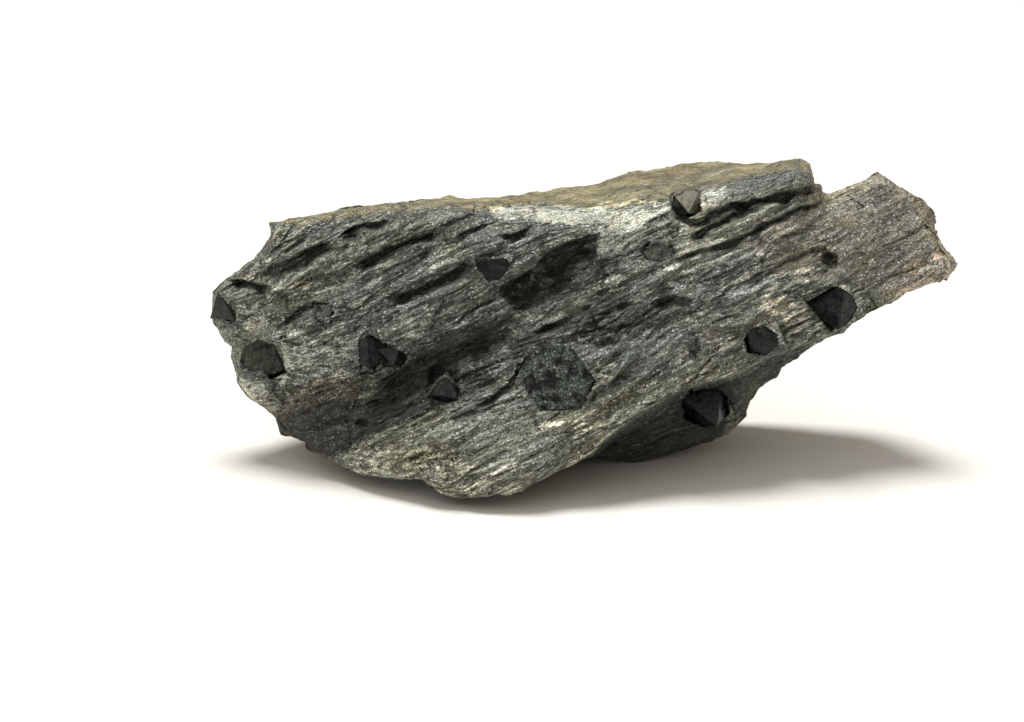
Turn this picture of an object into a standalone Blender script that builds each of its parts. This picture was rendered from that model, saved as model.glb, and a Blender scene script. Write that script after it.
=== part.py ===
"""Magnetite octahedra in a broken hand specimen of chlorite schist.

The schist is one solid, a slanting slab about 80 mm long.  It is drawn as two relief
sheets, front and back, that meet along one outline.  The sheets are measured from an
upright base plane that leans back a little: a runs to the right, b runs up, and h stands
out towards the front.  The lines along which h is measured fan out from one apex, so a
point keeps its place inside the outline however deep it lies.

The magnetite crystals are octahedra, each its own solid in a socket of the schist.
All sizes below are millimetres; the meshes are written in metres, +Z up, with the origin
on the surface the stone rests on, under the middle of its box.
"""

import math

import bmesh
import bpy
import numpy as np
from mathutils import Matrix, Vector

MM = 0.001

# ---- base plane ---------------------------------------------------------------------
LEAN = math.radians(13.36)          # how far the base plane leans back
ROLL = math.radians(1.07)           # how far it is turned in its own plane
FAN_LENGTH = 117.0                  # apex to base plane
APEX = np.array((-7.85, -119.46, 39.37))
PLANE_ORIGIN = (7.33, -12.69)       # where a = b = 0 lies, from the foot of the apex

RIGHT = np.array((math.cos(ROLL), math.sin(ROLL) * math.sin(LEAN), math.sin(ROLL) * math.cos(LEAN)))
UP = np.array((-math.sin(ROLL), math.cos(ROLL) * math.sin(LEAN), math.cos(ROLL) * math.cos(LEAN)))
BACK = np.array((0.0, math.cos(LEAN), -math.sin(LEAN)))

# ---- outline of the stone, (a, b), four sides from corner to corner -------------------
TOP_SIDE = [
    (-32.3, 27.0), (-29.8, 27.3), (-25.0, 28.4), (-20.0, 29.0), (-14.8, 29.5), (-13.8, 29.9),
    (-12.8, 29.5), (-8.5, 29.6), (-5.0, 30.1), (-2.0, 30.6), (1.0, 30.9), (3.0, 31.5),
    (5.0, 32.2), (10.0, 33.1), (14.0, 33.4), (16.5, 33.0), (18.5, 33.0), (20.5, 33.5),
    (22.5, 33.6), (23.4, 33.1), (23.7, 32.3), (23.8, 31.1), (24.5, 30.8), (24.8, 30.1),
    (25.4, 29.9), (28.5, 31.2), (30.5, 32.2), (31.2, 31.8), (32.2, 31.0), (33.8, 30.1),
    (35.3, 29.2), (36.2, 28.0), (36.3, 27.2), (36.4, 26.2), (37.5, 24.2), (38.7, 22.8),
]
RIGHT_SIDE = [(37.6, 21.1), (38.3, 22.0), (38.7, 22.8)]
BOTTOM_SIDE = [
    (-35.6, 10.4), (-34.4, 8.8), (-33.2, 7.9), (-31.8, 6.9), (-31.2, 5.2), (-30.0, 4.9),
    (-28.7, 4.5), (-28.4, 3.7), (-26.8, 2.6), (-25.0, 1.9),
    (-23.0, 1.0), (-20.2, 0.7), (-16.6, 0.4), (-15.6, -0.3), (-14.7, -1.2), (-12.8, -1.5),
    (-10.0, -1.4), (-6.5, -0.8), (-5.0, 0.0), (-2.5, 1.3), (0.0, 2.4), (1.5, 2.8),
    (3.8, 2.5), (5.4, 2.1), (8.0, 2.9), (12.0, 4.0), (15.0, 5.0), (16.0, 6.2), (16.9, 7.0),
    (17.5, 9.0), (18.2, 10.0), (20.0, 10.9), (21.0, 12.3), (23.0, 13.7), (25.0, 15.0),
    (26.8, 15.6), (28.3, 16.9), (29.6, 17.9), (32.5, 19.0), (33.5, 19.7), (35.5, 20.5),
    (37.6, 21.1),
]
LEFT_SIDE = [
    (-35.6, 10.4), (-35.9, 11.6), (-36.4, 13.2), (-36.3, 14.2), (-36.9, 14.8), (-37.4, 15.6),
    (-37.9, 16.6), (-38.4, 18.3), (-38.2, 19.7), (-36.9, 21.1), (-34.0, 23.3), (-32.3, 25.6),
    (-32.3, 27.0),
]
EDGE_ROUND = 0.9                    # radius worn on the front's rim
THIN_RIM = 3.0                      # band along the rim where all relief grows weaker
RIM_SHARE = 0.15                    # share of the relief that is left on the rim itself
WALL_DEPTH = 2.2                    # band behind the rim that turns into the back
LEAST_THICKNESS = 3.0

# ---- front relief, (a, b, h) ------------------------------------------------------------
FACE_POINTS = [
    (-32.3, 27.0, -1.5), (-25.0, 28.4, -2.5), (-14.0, 29.5, -4.0), (-5.0, 30.1, -8.0),
    (1.0, 30.9, -10.0), (5.0, 32.2, -12.0), (10.0, 33.1, -13.0), (14.0, 33.4, -12.0),
    (18.5, 33.0, -8.0), (22.5, 33.6, -3.5), (25.3, 29.9, -3.5), (30.5, 32.2, -5.0),
    (35.3, 29.2, -6.5), (38.7, 22.8, -5.5), (37.6, 21.1, -3.5), (33.0, 19.3, -2.0),
    (28.3, 16.9, -0.5), (24.0, 14.6, 0.5), (-34.0, 23.3, -1.5), (-38.4, 18.5, -4.5),
    (-36.2, 14.4, -3.5), (-35.4, 10.2, -3.5), (-32.4, 7.6, -3.5), (-31.2, 5.1, -4.0),
    (-28.4, 3.7, -1.5), (-25.0, 1.9, 1.5), (-20.2, 0.7, 5.0), (-15.6, -0.3, 7.5),
    (-12.0, -1.5, 8.5), (-6.5, -0.8, 8.6), (0.0, 2.4, 7.4), (4.0, 3.0, 6.6),
    (-27.5, 27.0, 0.6), (-21.0, 27.8, 1.6), (-14.0, 28.2, 2.4), (-9.0, 28.0, 1.6),
    (-5.0, 28.9, -2.0), (0.0, 29.3, -2.5), (5.0, 29.6, -2.5), (8.0, 31.2, -7.0),
    (13.0, 31.6, -6.0), (9.5, 29.8, -1.0), (16.0, 31.2, -0.5), (20.5, 32.3, 0.5),
    (-6.0, 27.6, 2.4), (0.0, 27.6, 2.6), (5.0, 27.4, 2.2), (12.0, 29.3, 2.4),
    (18.0, 30.4, 2.4), (22.8, 31.6, 1.6), (-33.0, 23.6, 0.4), (-29.0, 25.4, 1.4),
    (-22.0, 25.6, 3.2), (-15.0, 25.6, 4.2), (-8.0, 25.2, 5.0), (-2.0, 25.6, 5.0),
    (1.6, 25.8, 4.6), (-9.5, 22.0, 5.2), (-4.0, 23.0, 4.6), (-27.0, 21.5, 2.4),
    (-20.0, 21.5, 4.0), (-14.0, 20.0, 5.2), (-36.6, 18.0, -1.8), (-33.5, 19.0, 0.4),
    (-30.0, 16.0, 1.8), (-24.0, 17.0, 4.0), (-17.0, 16.0, 5.8), (-10.0, 17.0, 6.2),
    (-5.0, 18.0, 5.0), (0.0, 21.0, 4.0), (5.0, 24.6, 3.2), (8.0, 21.5, 3.4),
    (14.0, 24.0, 1.8), (20.0, 26.5, 0.4), (26.0, 27.0, -1.4), (31.0, 28.0, -3.0),
    (34.5, 25.0, -2.8), (30.0, 22.0, -0.6), (24.0, 21.5, 1.0), (17.0, 20.0, 2.8),
    (10.0, 16.5, 4.6), (3.0, 16.5, 5.6), (-4.0, 15.5, 6.6), (-33.0, 11.5, -1.0),
    (-29.0, 12.0, 1.4), (-22.0, 12.5, 4.6), (-17.0, 12.5, 5.2), (-12.0, 12.5, 6.2),
    (-28.5, 7.5, 0.4), (-23.0, 8.0, 2.8), (-18.0, 9.5, 4.4), (-25.5, 4.5, 1.2),
    (-21.0, 5.2, 4.6), (-15.0, 7.2, 7.4), (-9.0, 8.0, 7.8), (-3.0, 10.8, 7.4),
    (-12.0, 3.0, 8.8), (-5.0, 4.5, 8.6), (1.0, 6.5, 7.4), (4.0, 11.0, 6.4),
    (10.0, 11.6, 5.2), (16.0, 12.6, 3.6), (20.5, 15.0, 2.2), (25.0, 18.0, 1.2),
    (8.0, 7.5, 5.6), (14.0, 9.5, 3.8),
]
# The plate's lower edge, and the lump that stands behind it down to the resting surface.
PLATE_EDGE = [
    (-1.5, 1.5), (0.9, 2.8), (2.2, 4.0), (5.0, 6.1), (8.0, 8.0), (10.0, 9.3), (13.0, 10.4),
    (15.5, 11.1), (18.0, 12.4), (20.0, 13.2), (22.0, 14.0), (25.0, 15.3),
]
LUMP_POINTS = [
    (1.5, 2.8, -4.5), (5.4, 2.1, -7.0), (10.0, 3.5, -7.5), (15.0, 5.0, -8.0), (17.2, 8.0, -7.0),
    (20.0, 10.9, -5.0), (23.0, 13.7, -2.5), (5.0, 4.5, -4.0), (9.0, 6.5, -3.0),
    (13.0, 8.8, -3.5), (14.5, 6.8, -4.6), (16.3, 9.8, -3.2), (18.5, 11.5, -2.4), (11.0, 5.0, -5.0),
    (8.0, 3.9, -5.4),
]
STEP_BLEND = 0.35                   # width over which the plate gives way to the lump
PLATE_ROUND = 1.4                   # the plate's broken edge is rounded over this width

# ---- ledges of the foliation: line, drop, slot width, length of the ramp below ---------
LEDGES = [
    ([(-37.0, 21.1), (-34.5, 20.9), (-33.0, 20.5), (-31.9, 20.4)], 2.4, 0.7, 2.5),
    ([(-33.4, 22.3), (-31.0, 23.1), (-29.3, 23.5), (-27.5, 24.8), (-25.8, 25.3)], 1.9, 0.7, 2.5),
    ([(-25.6, 25.4), (-24.0, 26.5), (-22.5, 27.0), (-19.8, 27.1)], 1.9, 0.7, 2.2),
    ([(-24.8, 21.7), (-22.5, 22.9), (-20.0, 24.3), (-17.0, 25.3), (-14.8, 26.3)], 1.9, 0.7, 3.0),
    ([(-32.0, 16.0), (-29.9, 17.8), (-28.6, 18.4), (-27.6, 18.9), (-25.6, 18.6)], 1.2, 0.5, 1.6),
    ([(-20.2, 19.1), (-15.5, 20.9), (-13.5, 22.2), (-11.8, 23.4)], 1.6, 0.8, 2.4),
    ([(-13.6, 25.3), (-11.5, 26.5), (-9.6, 27.4)], 0.7, 0.3, 1.2),
    ([(-9.2, 25.5), (-7.5, 26.0), (-5.3, 26.9)], 1.2, 0.5, 1.6),
    ([(-9.0, 20.2), (-6.5, 21.5), (-4.5, 23.0), (-2.8, 24.2), (-0.6, 25.4), (1.9, 26.3)],
     3.6, 1.6, 3.0),
    ([(-8.2, 18.6), (-6.0, 19.2), (-3.4, 20.6), (-1.0, 22.2)], 1.4, 0.7, 1.8),
    ([(-5.2, 15.9), (-2.0, 17.2), (0.0, 18.4), (1.6, 18.9)], 1.2, 0.5, 1.8),
    ([(1.4, 17.4), (3.5, 18.5), (5.4, 19.2)], 0.9, 0.4, 1.4),
    ([(6.5, 18.6), (9.0, 19.4), (11.6, 19.4)], 1.2, 0.5, 1.6),
    ([(5.6, 24.6), (7.0, 25.1), (9.2, 25.1)], 1.0, 0.4, 1.0),
    ([(9.2, 28.4), (10.5, 27.7), (11.6, 27.6), (13.0, 28.2), (15.0, 28.9), (17.5, 29.5),
      (21.5, 30.7), (24.4, 31.4)], 3.0, 1.1, 3.0),
    ([(10.6, 25.4), (13.0, 26.9), (15.0, 27.7), (18.2, 28.9)], 1.2, 0.4, 1.4),
    ([(9.6, 23.3), (12.0, 24.3), (14.5, 25.0), (18.0, 26.6), (20.0, 27.7), (22.0, 28.7),
      (24.6, 29.3)], 1.5, 0.5, 2.0),
    ([(18.6, 21.8), (21.0, 23.2), (23.0, 24.1), (24.8, 24.3), (26.0, 23.3)], 1.1, 0.5, 1.6),
    ([(0.2, 14.5), (2.5, 15.1), (4.0, 15.3)], 1.0, 0.4, 1.2),
    ([(-11.2, 8.2), (-9.5, 9.0), (-8.0, 10.2), (-6.8, 11.8), (-5.2, 14.3), (-3.0, 15.2)],
     1.2, 0.5, 1.2),
    ([(0.0, 8.4), (1.5, 10.0), (3.0, 11.0), (5.2, 12.2)], 1.3, 0.6, 1.4),
    ([(-20.8, 1.1), (-18.8, 2.4), (-16.2, 3.7)], 0.9, 0.3, 1.2),
    ([(-24.5, 10.0), (-20.0, 12.0), (-16.0, 14.2), (-11.0, 15.9), (-7.0, 16.6)], 1.8, 1.0, 4.0),
    ([(-27.0, 6.2), (-24.5, 7.4), (-22.4, 7.3)], 1.2, 0.7, 1.6),
]
LEDGE_END = 1.4                     # a ledge dies out over this length at each end
LEDGE_LIP = 0.18                    # width of the step from ledge to slot
RAGGED_SIZE = 1.7                   # the ledges' lines wander: spacing and reach
RAGGED_REACH = 0.35

# ---- pits: (a, b) of the middle, half width, half height, depth ---------------------------
PITS = [
    (-33.5, 13.1, 2.3, 1.9, 2.6), (-15.3, 11.8, 1.1, 0.7, 1.5), (-23.0, 6.4, 1.0, 0.7, 1.2),
    (11.6, 13.9, 0.5, 1.6, 0.9), (25.6, 23.0, 0.8, 0.9, 0.8), (-37.4, 17.4, 1.0, 1.8, 0.8),
]

# ---- flakes: flat scales of the break, drawn out along the foliation ----------------------
FLAKE_ANGLE = math.radians(25.0)
FLAKE_LENGTH = 9.0
FLAKE_WIDTH = 3.4
FLAKE_STEP = 0.45                   # how far one flake may stand above the next
FLAKE_TILT = 0.5                    # rise from a flake's middle to its end

# ---- back of the stone: flat breaks, outward direction and a point on each --------------
BREAKS = [
    ((0.00, 0.00, -1.00), (0.0, 0.0, -0.5)),
    ((0.05, 1.00, 0.12), (0.0, 15.4, 14.0)),
    ((0.05, 0.62, 0.78), (8.0, 14.0, 31.6)),
    ((-0.80, 0.58, 0.05), (-34.5, 4.0, 16.0)),
    ((-0.46, 0.12, -0.88), (-16.5, 0.0, -0.5)),
    ((0.62, 0.10, -0.78), (13.0, 4.0, -0.5)),
    ((0.84, 0.50, 0.10), (37.0, 8.0, 24.0)),
    ((0.08, 0.66, -0.74), (0.0, 12.0, -0.2)),
    ((-0.28, 0.74, 0.60), (-26.0, 8.0, 26.0)),
    ((0.30, 0.86, 0.42), (24.0, 12.6, 28.0)),
    ((-0.34, 0.90, -0.20), (-20.0, 13.4, 10.0)),
    ((0.00, -0.26, -0.97), (0.0, -7.5, -0.5)),
]

FLOOR_BLOCK = (120.0, 80.0, 20.0)   # block that takes away what lies under the rest

# ---- foliation ----------------------------------------------------------------------------
FOLIATION_NORMAL = np.array((-0.40, -0.32, 0.86))
LAYER_THICKNESS = 1.9               # mean spacing of the broken layer edges
LAYER_STEP = 0.42                   # how far a layer edge stands out
LAYER_SHARE = 0.78                  # part of a layer's thickness before it gives way to the next
LAYER_LENGTH = 11.0                 # distance over which a layer's edge wanders in and out
FOLD_SIZE = 14.0                    # the layers are gently folded: spacing and reach in layers
FOLD_REACH = 1.2
BUMP_SIZE = 6.5                     # spacing of the broad swells
BUMP_HEIGHT = 0.55

# ---- scatter: fixed numbers that make neighbouring cells unlike -------------------------------
SCATTER = np.array((127.1, 311.7, 74.7))
SCATTER_GAIN = 43758.5453
UNLIKE_ROW = 3.7                    # rows this far apart have nothing to do with each other

# ---- resolution ----------------------------------------------------------------------------
GRID_ALONG = 190
GRID_ACROSS = 92
RIM_CROWDING = 0.55                 # 0 spaces the grid evenly, 1 crowds it at the rim
EVEN_SHARE = 0.6                    # how far the back's grid is evened out over its walls
EVEN_MARGIN = 0.3                   # part of the grid over which that dies out to the rim
SKIN_SIZE = 0.35                    # the two sheets are drawn over with one skin this fine
KEPT_SHARE = 0.046                  # share of the skin's triangles that is kept

# ---- magnetite crystals ---------------------------------------------------------------------
SOCKET_GAP = 0.3
# name, (a, b) of the centre, how deep the centre lies under the schist's face, edge,
# (spin, lean, turn) in degrees, height of a broken top above the centre
CRYSTALS = [
    ("magnetite_broken_large", (-2.9, 11.0), 0.0, 7.8, (45.0, 44.0, 6.0), 0.0),
    ("magnetite_upper_slab", (-9.4, 22.3), 1.7, 4.0, (45.0, 60.0, 4.0), None),
    ("magnetite_lower_triangle", (-14.3, 9.6), 0.6, 2.9, (45.0, 70.0, 172.0), None),
    ("magnetite_left_pit", (-33.6, 13.1), 2.9, 3.2, (45.0, 20.0, 24.0), None),
    ("magnetite_left_end", (-36.5, 17.7), 1.8, 3.1, (0.0, 45.0, 14.0), None),
    ("magnetite_right_octahedron", (26.0, 18.1), 1.2, 4.7, (0.0, 45.0, -9.0), None),
    ("magnetite_right_small", (18.3, 14.9), 0.3, 2.9, (0.0, 45.0, 70.0), None),
    ("magnetite_top_slab", (10.4, 28.9), -0.2, 2.8, (0.0, 40.0, -30.0), None),
    ("magnetite_under_plate", (12.6, 7.9), 1.3, 4.6, (0.0, 45.0, 100.0), None),
    ("magnetite_left_small", (-26.8, 17.5), 0.9, 2.3, (0.0, 45.0, 40.0), None),
    ("magnetite_grey_lozenge", (7.8, 23.8), 0.0, 3.0, (45.0, 54.7, -6.0), 0.0),
]
UNDER_PLATE = "magnetite_under_plate"
TWIN_NAME = "magnetite_twin_left"
TWIN = [((-22.0, 13.6), 0.9, 3.5, (0.0, 45.0, 6.0)), ((-19.6, 13.1), 0.7, 2.5, (45.0, 30.0, 12.0))]
# crystals on the far side: name, point in x, y, z, edge, turns about X, Y and Z in degrees
BACK_CRYSTALS = [
    ("magnetite_back_left", (-14.0, 14.2, 18.0), 4.4, (20.0, 35.0, 10.0)),
    ("magnetite_back_middle", (6.0, 14.9, 10.5), 3.4, (50.0, 10.0, 30.0)),
    ("magnetite_back_right", (22.0, 12.6, 21.0), 5.0, (35.0, 20.0, -15.0)),
]


def clear_scene():
    for obj in list(bpy.data.objects):
        bpy.data.objects.remove(obj, do_unlink=True)


def make_collection(name):
    collection = bpy.data.collections.new(name)
    bpy.context.scene.collection.children.link(collection)
    return collection


def make_material(name, colour, roughness, metallic):
    material = bpy.data.materials.new(name)
    material.use_nodes = True
    shader = material.node_tree.nodes["Principled BSDF"]
    shader.inputs["Base Color"].default_value = (*colour, 1.0)
    shader.inputs["Roughness"].default_value = roughness
    shader.inputs["Metallic"].default_value = metallic
    material.diffuse_color = (*colour, 1.0)
    return material


# ---- geometry of the base plane ---------------------------------------------------------------

def fan_direction(a, b):
    """Vector from the apex to the point (a, b) of the base plane."""
    across = np.multiply.outer(a + PLANE_ORIGIN[0], RIGHT)
    upward = np.multiply.outer(b + PLANE_ORIGIN[1], UP)
    return across + upward + FAN_LENGTH * BACK


def place(a, b, h):
    """Point in space of base plane place (a, b) at relief height h."""
    scale = 1.0 - np.asarray(h) / FAN_LENGTH
    return APEX + fan_direction(a, b) * scale[..., None]


def along(line, fraction):
    """Points at the given fractions of a polyline's length."""
    points = np.array(line)
    lengths = np.hypot(*np.diff(points, axis=0).T)
    reach = np.concatenate(([0.0], np.cumsum(lengths))) / lengths.sum()
    return np.stack([np.interp(fraction, reach, points[:, k]) for k in (0, 1)], axis=-1)


def crowd(count):
    """Grid fractions from 0 to 1, closer together near both ends."""
    even = np.linspace(0.0, 1.0, count)
    return (1.0 - RIM_CROWDING) * even + RIM_CROWDING * (0.5 - 0.5 * np.cos(np.pi * even))


def outline_patch(u, v):
    """Coons patch: the place (a, b) that the outline's four sides carry inwards to (u, v)."""
    u, v = u[..., None], v[..., None]
    bottom, top = along(BOTTOM_SIDE, u[..., 0]), along(TOP_SIDE, u[..., 0])
    left, right = along(LEFT_SIDE, v[..., 0]), along(RIGHT_SIDE, v[..., 0])
    sides = (1 - v) * bottom + v * top + (1 - u) * left + u * right
    low = (1 - u) * np.array(BOTTOM_SIDE[0]) + u * np.array(BOTTOM_SIDE[-1])
    high = (1 - u) * np.array(TOP_SIDE[0]) + u * np.array(TOP_SIDE[-1])
    grid = sides - (1 - v) * low - v * high
    return grid[..., 0], grid[..., 1]


def line_distance(line, a, b):
    """Distance to a polyline, which side (+1 below it), and length run along it."""
    best = np.full(np.shape(a), 1e9)
    side = np.ones(np.shape(a))
    run = np.zeros(np.shape(a))
    start = 0.0
    for (a0, b0), (a1, b1) in zip(line[:-1], line[1:]):
        da, db = a1 - a0, b1 - b0
        length = math.hypot(da, db)
        t = np.clip(((a - a0) * da + (b - b0) * db) / length ** 2, 0.0, 1.0)
        gap_a, gap_b = a - a0 - t * da, b - b0 - t * db
        gap = np.hypot(gap_a, gap_b)
        nearer = gap < best
        best = np.where(nearer, gap, best)
        side = np.where(nearer, np.sign(gap_a * db - gap_b * da + 1e-12), side)
        run = np.where(nearer, start + t * length, run)
        start += length
    return best, side, run, start


def smooth_surface(points, softness=2.0):
    """Multiquadric surface through scattered heights: sum of weighted sqrt(r^2 + s^2)."""
    data = np.array(points)
    gaps = data[:, None, :2] - data[None, :, :2]
    kernel = np.sqrt((gaps ** 2).sum(axis=2) + softness ** 2)
    weights = np.linalg.solve(kernel, data[:, 2])

    def height(a, b):
        total = np.zeros(np.shape(a))
        for (pa, pb, _), weight in zip(points, weights):
            total += weight * np.sqrt((a - pa) ** 2 + (b - pb) ** 2 + softness ** 2)
        return total

    return height


def lattice_noise(p, seed):
    """Smooth value noise between -1 and 1 on a unit lattice."""
    cell = np.floor(p)
    f = p - cell
    f = f * f * (3.0 - 2.0 * f)
    total = np.zeros(p.shape[:-1])
    for corner in np.ndindex(2, 2, 2):
        q = cell + np.array(corner)
        wave = np.sin(q @ SCATTER + 17.3 * seed) * SCATTER_GAIN
        value = 2.0 * (wave - np.floor(wave)) - 1.0
        weight = np.prod(np.where(np.array(corner) == 1, f, 1.0 - f), axis=-1)
        total += weight * value
    return total


FACE = smooth_surface(FACE_POINTS)
LUMP = smooth_surface(LUMP_POINTS)


def hashed(cells, seed):
    """A fixed number from 0 to 1 for each whole-numbered cell."""
    wave = np.sin(cells @ SCATTER[:2] + 31.7 * seed) * SCATTER_GAIN
    return wave - np.floor(wave)


def ragged(a, b):
    """The place (a, b) moved a little by noise, so that straight lines break raggedly."""
    spot = np.stack([a, b, np.zeros(np.shape(a))], axis=-1) / RAGGED_SIZE
    return a + RAGGED_REACH * lattice_noise(spot, 7), b + RAGGED_REACH * lattice_noise(spot, 8)


def quarter_round(distance, radius):
    """0 at the edge rising to 1 at one radius from it, as a quarter circle does."""
    t = np.clip(distance / radius, 0.0, 1.0)
    return np.sqrt(1.0 - (1.0 - t) ** 2)


def ledge_drop(a, b):
    """Depth cut below each ledge: a slot under its lip and a ramp back to the face."""
    depth = np.zeros(np.shape(a))
    a, b = ragged(a, b)
    for line, drop, slot, ramp in LEDGES:
        gap, side, run, length = line_distance(line, a, b)
        signed = gap * side
        lip = np.clip(signed / LEDGE_LIP, 0.0, 1.0)
        rise = np.clip((signed - slot) / ramp, 0.0, 1.0)
        ends = np.clip(np.minimum(run, length - run) / LEDGE_END, 0.0, 1.0)
        depth = np.maximum(depth, drop * lip * (1.0 - rise) ** 1.5 * ends)
    return depth


def pit_depth(a, b):
    """Bowls with steep sides: depth times one minus the fourth power of the radius."""
    depth = np.zeros(np.shape(a))
    a, b = ragged(a, b)
    for middle_a, middle_b, half_a, half_b, deep in PITS:
        radius = np.hypot((a - middle_a) / half_a, (b - middle_b) / half_b)
        depth += deep * np.clip(1.0 - radius ** 4, 0.0, 1.0)
    return depth


def flakes(a, b, seed):
    """Each place takes the offset and the tilt of the flake whose middle is nearest."""
    a, b = ragged(a, b)
    run = (a * math.cos(FLAKE_ANGLE) + b * math.sin(FLAKE_ANGLE)) / FLAKE_LENGTH
    rise = (b * math.cos(FLAKE_ANGLE) - a * math.sin(FLAKE_ANGLE)) / FLAKE_WIDTH
    home = np.stack([np.floor(run), np.floor(rise)], axis=-1)
    nearest = np.full(np.shape(a), 1e9)
    height = np.zeros(np.shape(a))
    for step in np.ndindex(3, 3):
        cell = home + np.array(step) - 1.0
        off_run = run - cell[..., 0] - 0.1 - 0.8 * hashed(cell, seed)
        off_rise = rise - cell[..., 1] - 0.1 - 0.8 * hashed(cell, seed + 1)
        gap = off_run ** 2 + off_rise ** 2
        tilt = (hashed(cell, seed + 2) - 0.5) * off_run + (hashed(cell, seed + 3) - 0.5) * off_rise
        own = FLAKE_STEP * (2.0 * hashed(cell, seed + 4) - 1.0) + 2.0 * FLAKE_TILT * tilt
        height = np.where(gap < nearest, own, height)
        nearest = np.minimum(gap, nearest)
    return height


def layer_steps(points):
    """Layer edges: each foliation layer stands out or back by its own amount."""
    normal = FOLIATION_NORMAL / np.linalg.norm(FOLIATION_NORMAL)
    layer = (points @ normal) / LAYER_THICKNESS + FOLD_REACH * lattice_noise(points / FOLD_SIZE, 3)
    index = np.floor(layer)
    place_x, place_y = points[..., 0] / LAYER_LENGTH, points[..., 1] / LAYER_LENGTH
    own = lattice_noise(np.stack([place_x, index * UNLIKE_ROW, place_y], axis=-1), 5)
    above = lattice_noise(np.stack([place_x, (index + 1.0) * UNLIKE_ROW, place_y], axis=-1), 5)
    ease = np.clip((layer - index - LAYER_SHARE) / (1.0 - LAYER_SHARE), 0.0, 1.0)
    return (1.0 - ease) * own + ease * above


def break_relief(points):
    """Broad swells and layer edges that every broken surface of the schist shows."""
    return BUMP_HEIGHT * lattice_noise(points / BUMP_SIZE, 1) + LAYER_STEP * layer_steps(points)


def rim_distance(a, b):
    """Distance in the base plane to the stone's outline."""
    outline = BOTTOM_SIDE + RIGHT_SIDE[1:] + TOP_SIDE[-2::-1] + LEFT_SIDE[-2::-1]
    return line_distance(outline, a, b)[0]


def rim_fade(a, b):
    """Share of the relief that is kept: little at the thin rim, all of it further in."""
    return RIM_SHARE + (1.0 - RIM_SHARE) * np.clip(rim_distance(a, b) / THIN_RIM, 0.0, 1.0)


def front_height(a, b):
    """Smooth height of the front: the plate's face, and the lump behind its lower edge."""
    gap, side, _, _ = line_distance(PLATE_EDGE, a, b)
    below = gap * side
    face = FACE(a, b) - PLATE_ROUND * (1.0 - quarter_round(-below, PLATE_ROUND))
    behind = np.clip(below / STEP_BLEND + 0.5, 0.0, 1.0)
    worn = EDGE_ROUND * (1.0 - quarter_round(rim_distance(a, b), EDGE_ROUND))
    return (1.0 - behind) * face + behind * LUMP(a, b) - worn


def front_detail(a, b):
    """What stands on the front or is cut into it: flakes, ledges and pits."""
    inner = 0.5 + 0.5 * np.clip(2.0 * rim_distance(a, b) / THIN_RIM, 0.0, 1.0)
    return inner * (flakes(a, b, 11) - ledge_drop(a, b) - pit_depth(a, b))


def back_height(a, b):
    """Where each fan line leaves the solid that the flat breaks enclose."""
    direction = fan_direction(a, b)
    leave = np.full(np.shape(a), 2.0)
    for outward, point in BREAKS:
        normal = np.array(outward) / np.linalg.norm(outward)
        slope = direction @ normal
        reach = (np.array(point) - APEX) @ normal
        leave = np.where(slope > 0.01, np.minimum(leave, reach / np.maximum(slope, 0.01)), leave)
    front = front_height(a, b)
    deep = np.minimum(FAN_LENGTH * (1.0 - leave), front - LEAST_THICKNESS)
    return front + (deep - front) * quarter_round(rim_distance(a, b), WALL_DEPTH)


def back_detail(a, b):
    """Flakes of the back, which fade out where the wall turns to the rim."""
    return flakes(a, b, 23) * quarter_round(rim_distance(a, b), 2.0 * WALL_DEPTH)


def even_fractions(points, fractions, axis):
    """Fractions along one axis of a grid that space its points evenly in space."""
    points, fractions = np.swapaxes(points, 0, axis), np.swapaxes(fractions, 0, axis)
    steps = np.linalg.norm(np.diff(points, axis=0), axis=-1)
    run = np.concatenate([np.zeros((1, steps.shape[1])), np.cumsum(steps, axis=0)])
    wanted = np.linspace(0.0, 1.0, len(run))
    lines = [np.interp(wanted, run[:, k] / run[-1, k], fractions[:, k]) for k in range(run.shape[1])]
    return np.swapaxes(np.stack(lines, axis=1), 0, axis)


def back_grid(u, v):
    """The back's own (u, v): even over its steep walls, the front's along the rim."""
    for axis in (0, 1):
        a, b = outline_patch(u, v)
        even = even_fractions(place(a, b, back_height(a, b)), (u, v)[axis], axis)
        crossing = (v, u)[axis]
        share = EVEN_SHARE * np.clip(np.minimum(crossing, 1.0 - crossing) / EVEN_MARGIN, 0.0, 1.0)
        if axis == 0:
            u = u + share * (even - u)
        else:
            v = v + share * (even - v)
    return u, v


def sheet_faces(numbers, flip):
    """Quads between neighbouring grid numbers."""
    corners = [numbers[:-1, :-1], numbers[1:, :-1], numbers[1:, 1:], numbers[:-1, 1:]]
    quads = np.stack([corner.ravel() for corner in corners], axis=-1)
    return quads[:, ::-1] if flip else quads


def join_sheets(front, back):
    """One list of points from two grids: the back takes the front's own rim points."""
    size = front.shape[-1]
    return np.concatenate([front.reshape(-1, size), back[1:-1, 1:-1].reshape(-1, size)])


def sheet_numbers(columns, rows):
    """Point numbers of the two grids, in the order in which join_sheets lists them."""
    front = np.arange(columns * rows).reshape(columns, rows)
    back = front.copy()
    inside = (columns - 2) * (rows - 2)
    back[1:-1, 1:-1] = columns * rows + np.arange(inside).reshape(columns - 2, rows - 2)
    return front, back


def outward_normals(points, faces):
    """Unit normal of every point: the mean of its faces' normals by area."""
    corners = points[faces]
    crossed = np.cross(corners[:, 2] - corners[:, 0], corners[:, 3] - corners[:, 1])
    normals = np.zeros_like(points)
    for k in range(4):
        np.add.at(normals, faces[:, k], crossed)
    return normals / np.linalg.norm(normals, axis=1, keepdims=True)


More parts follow.
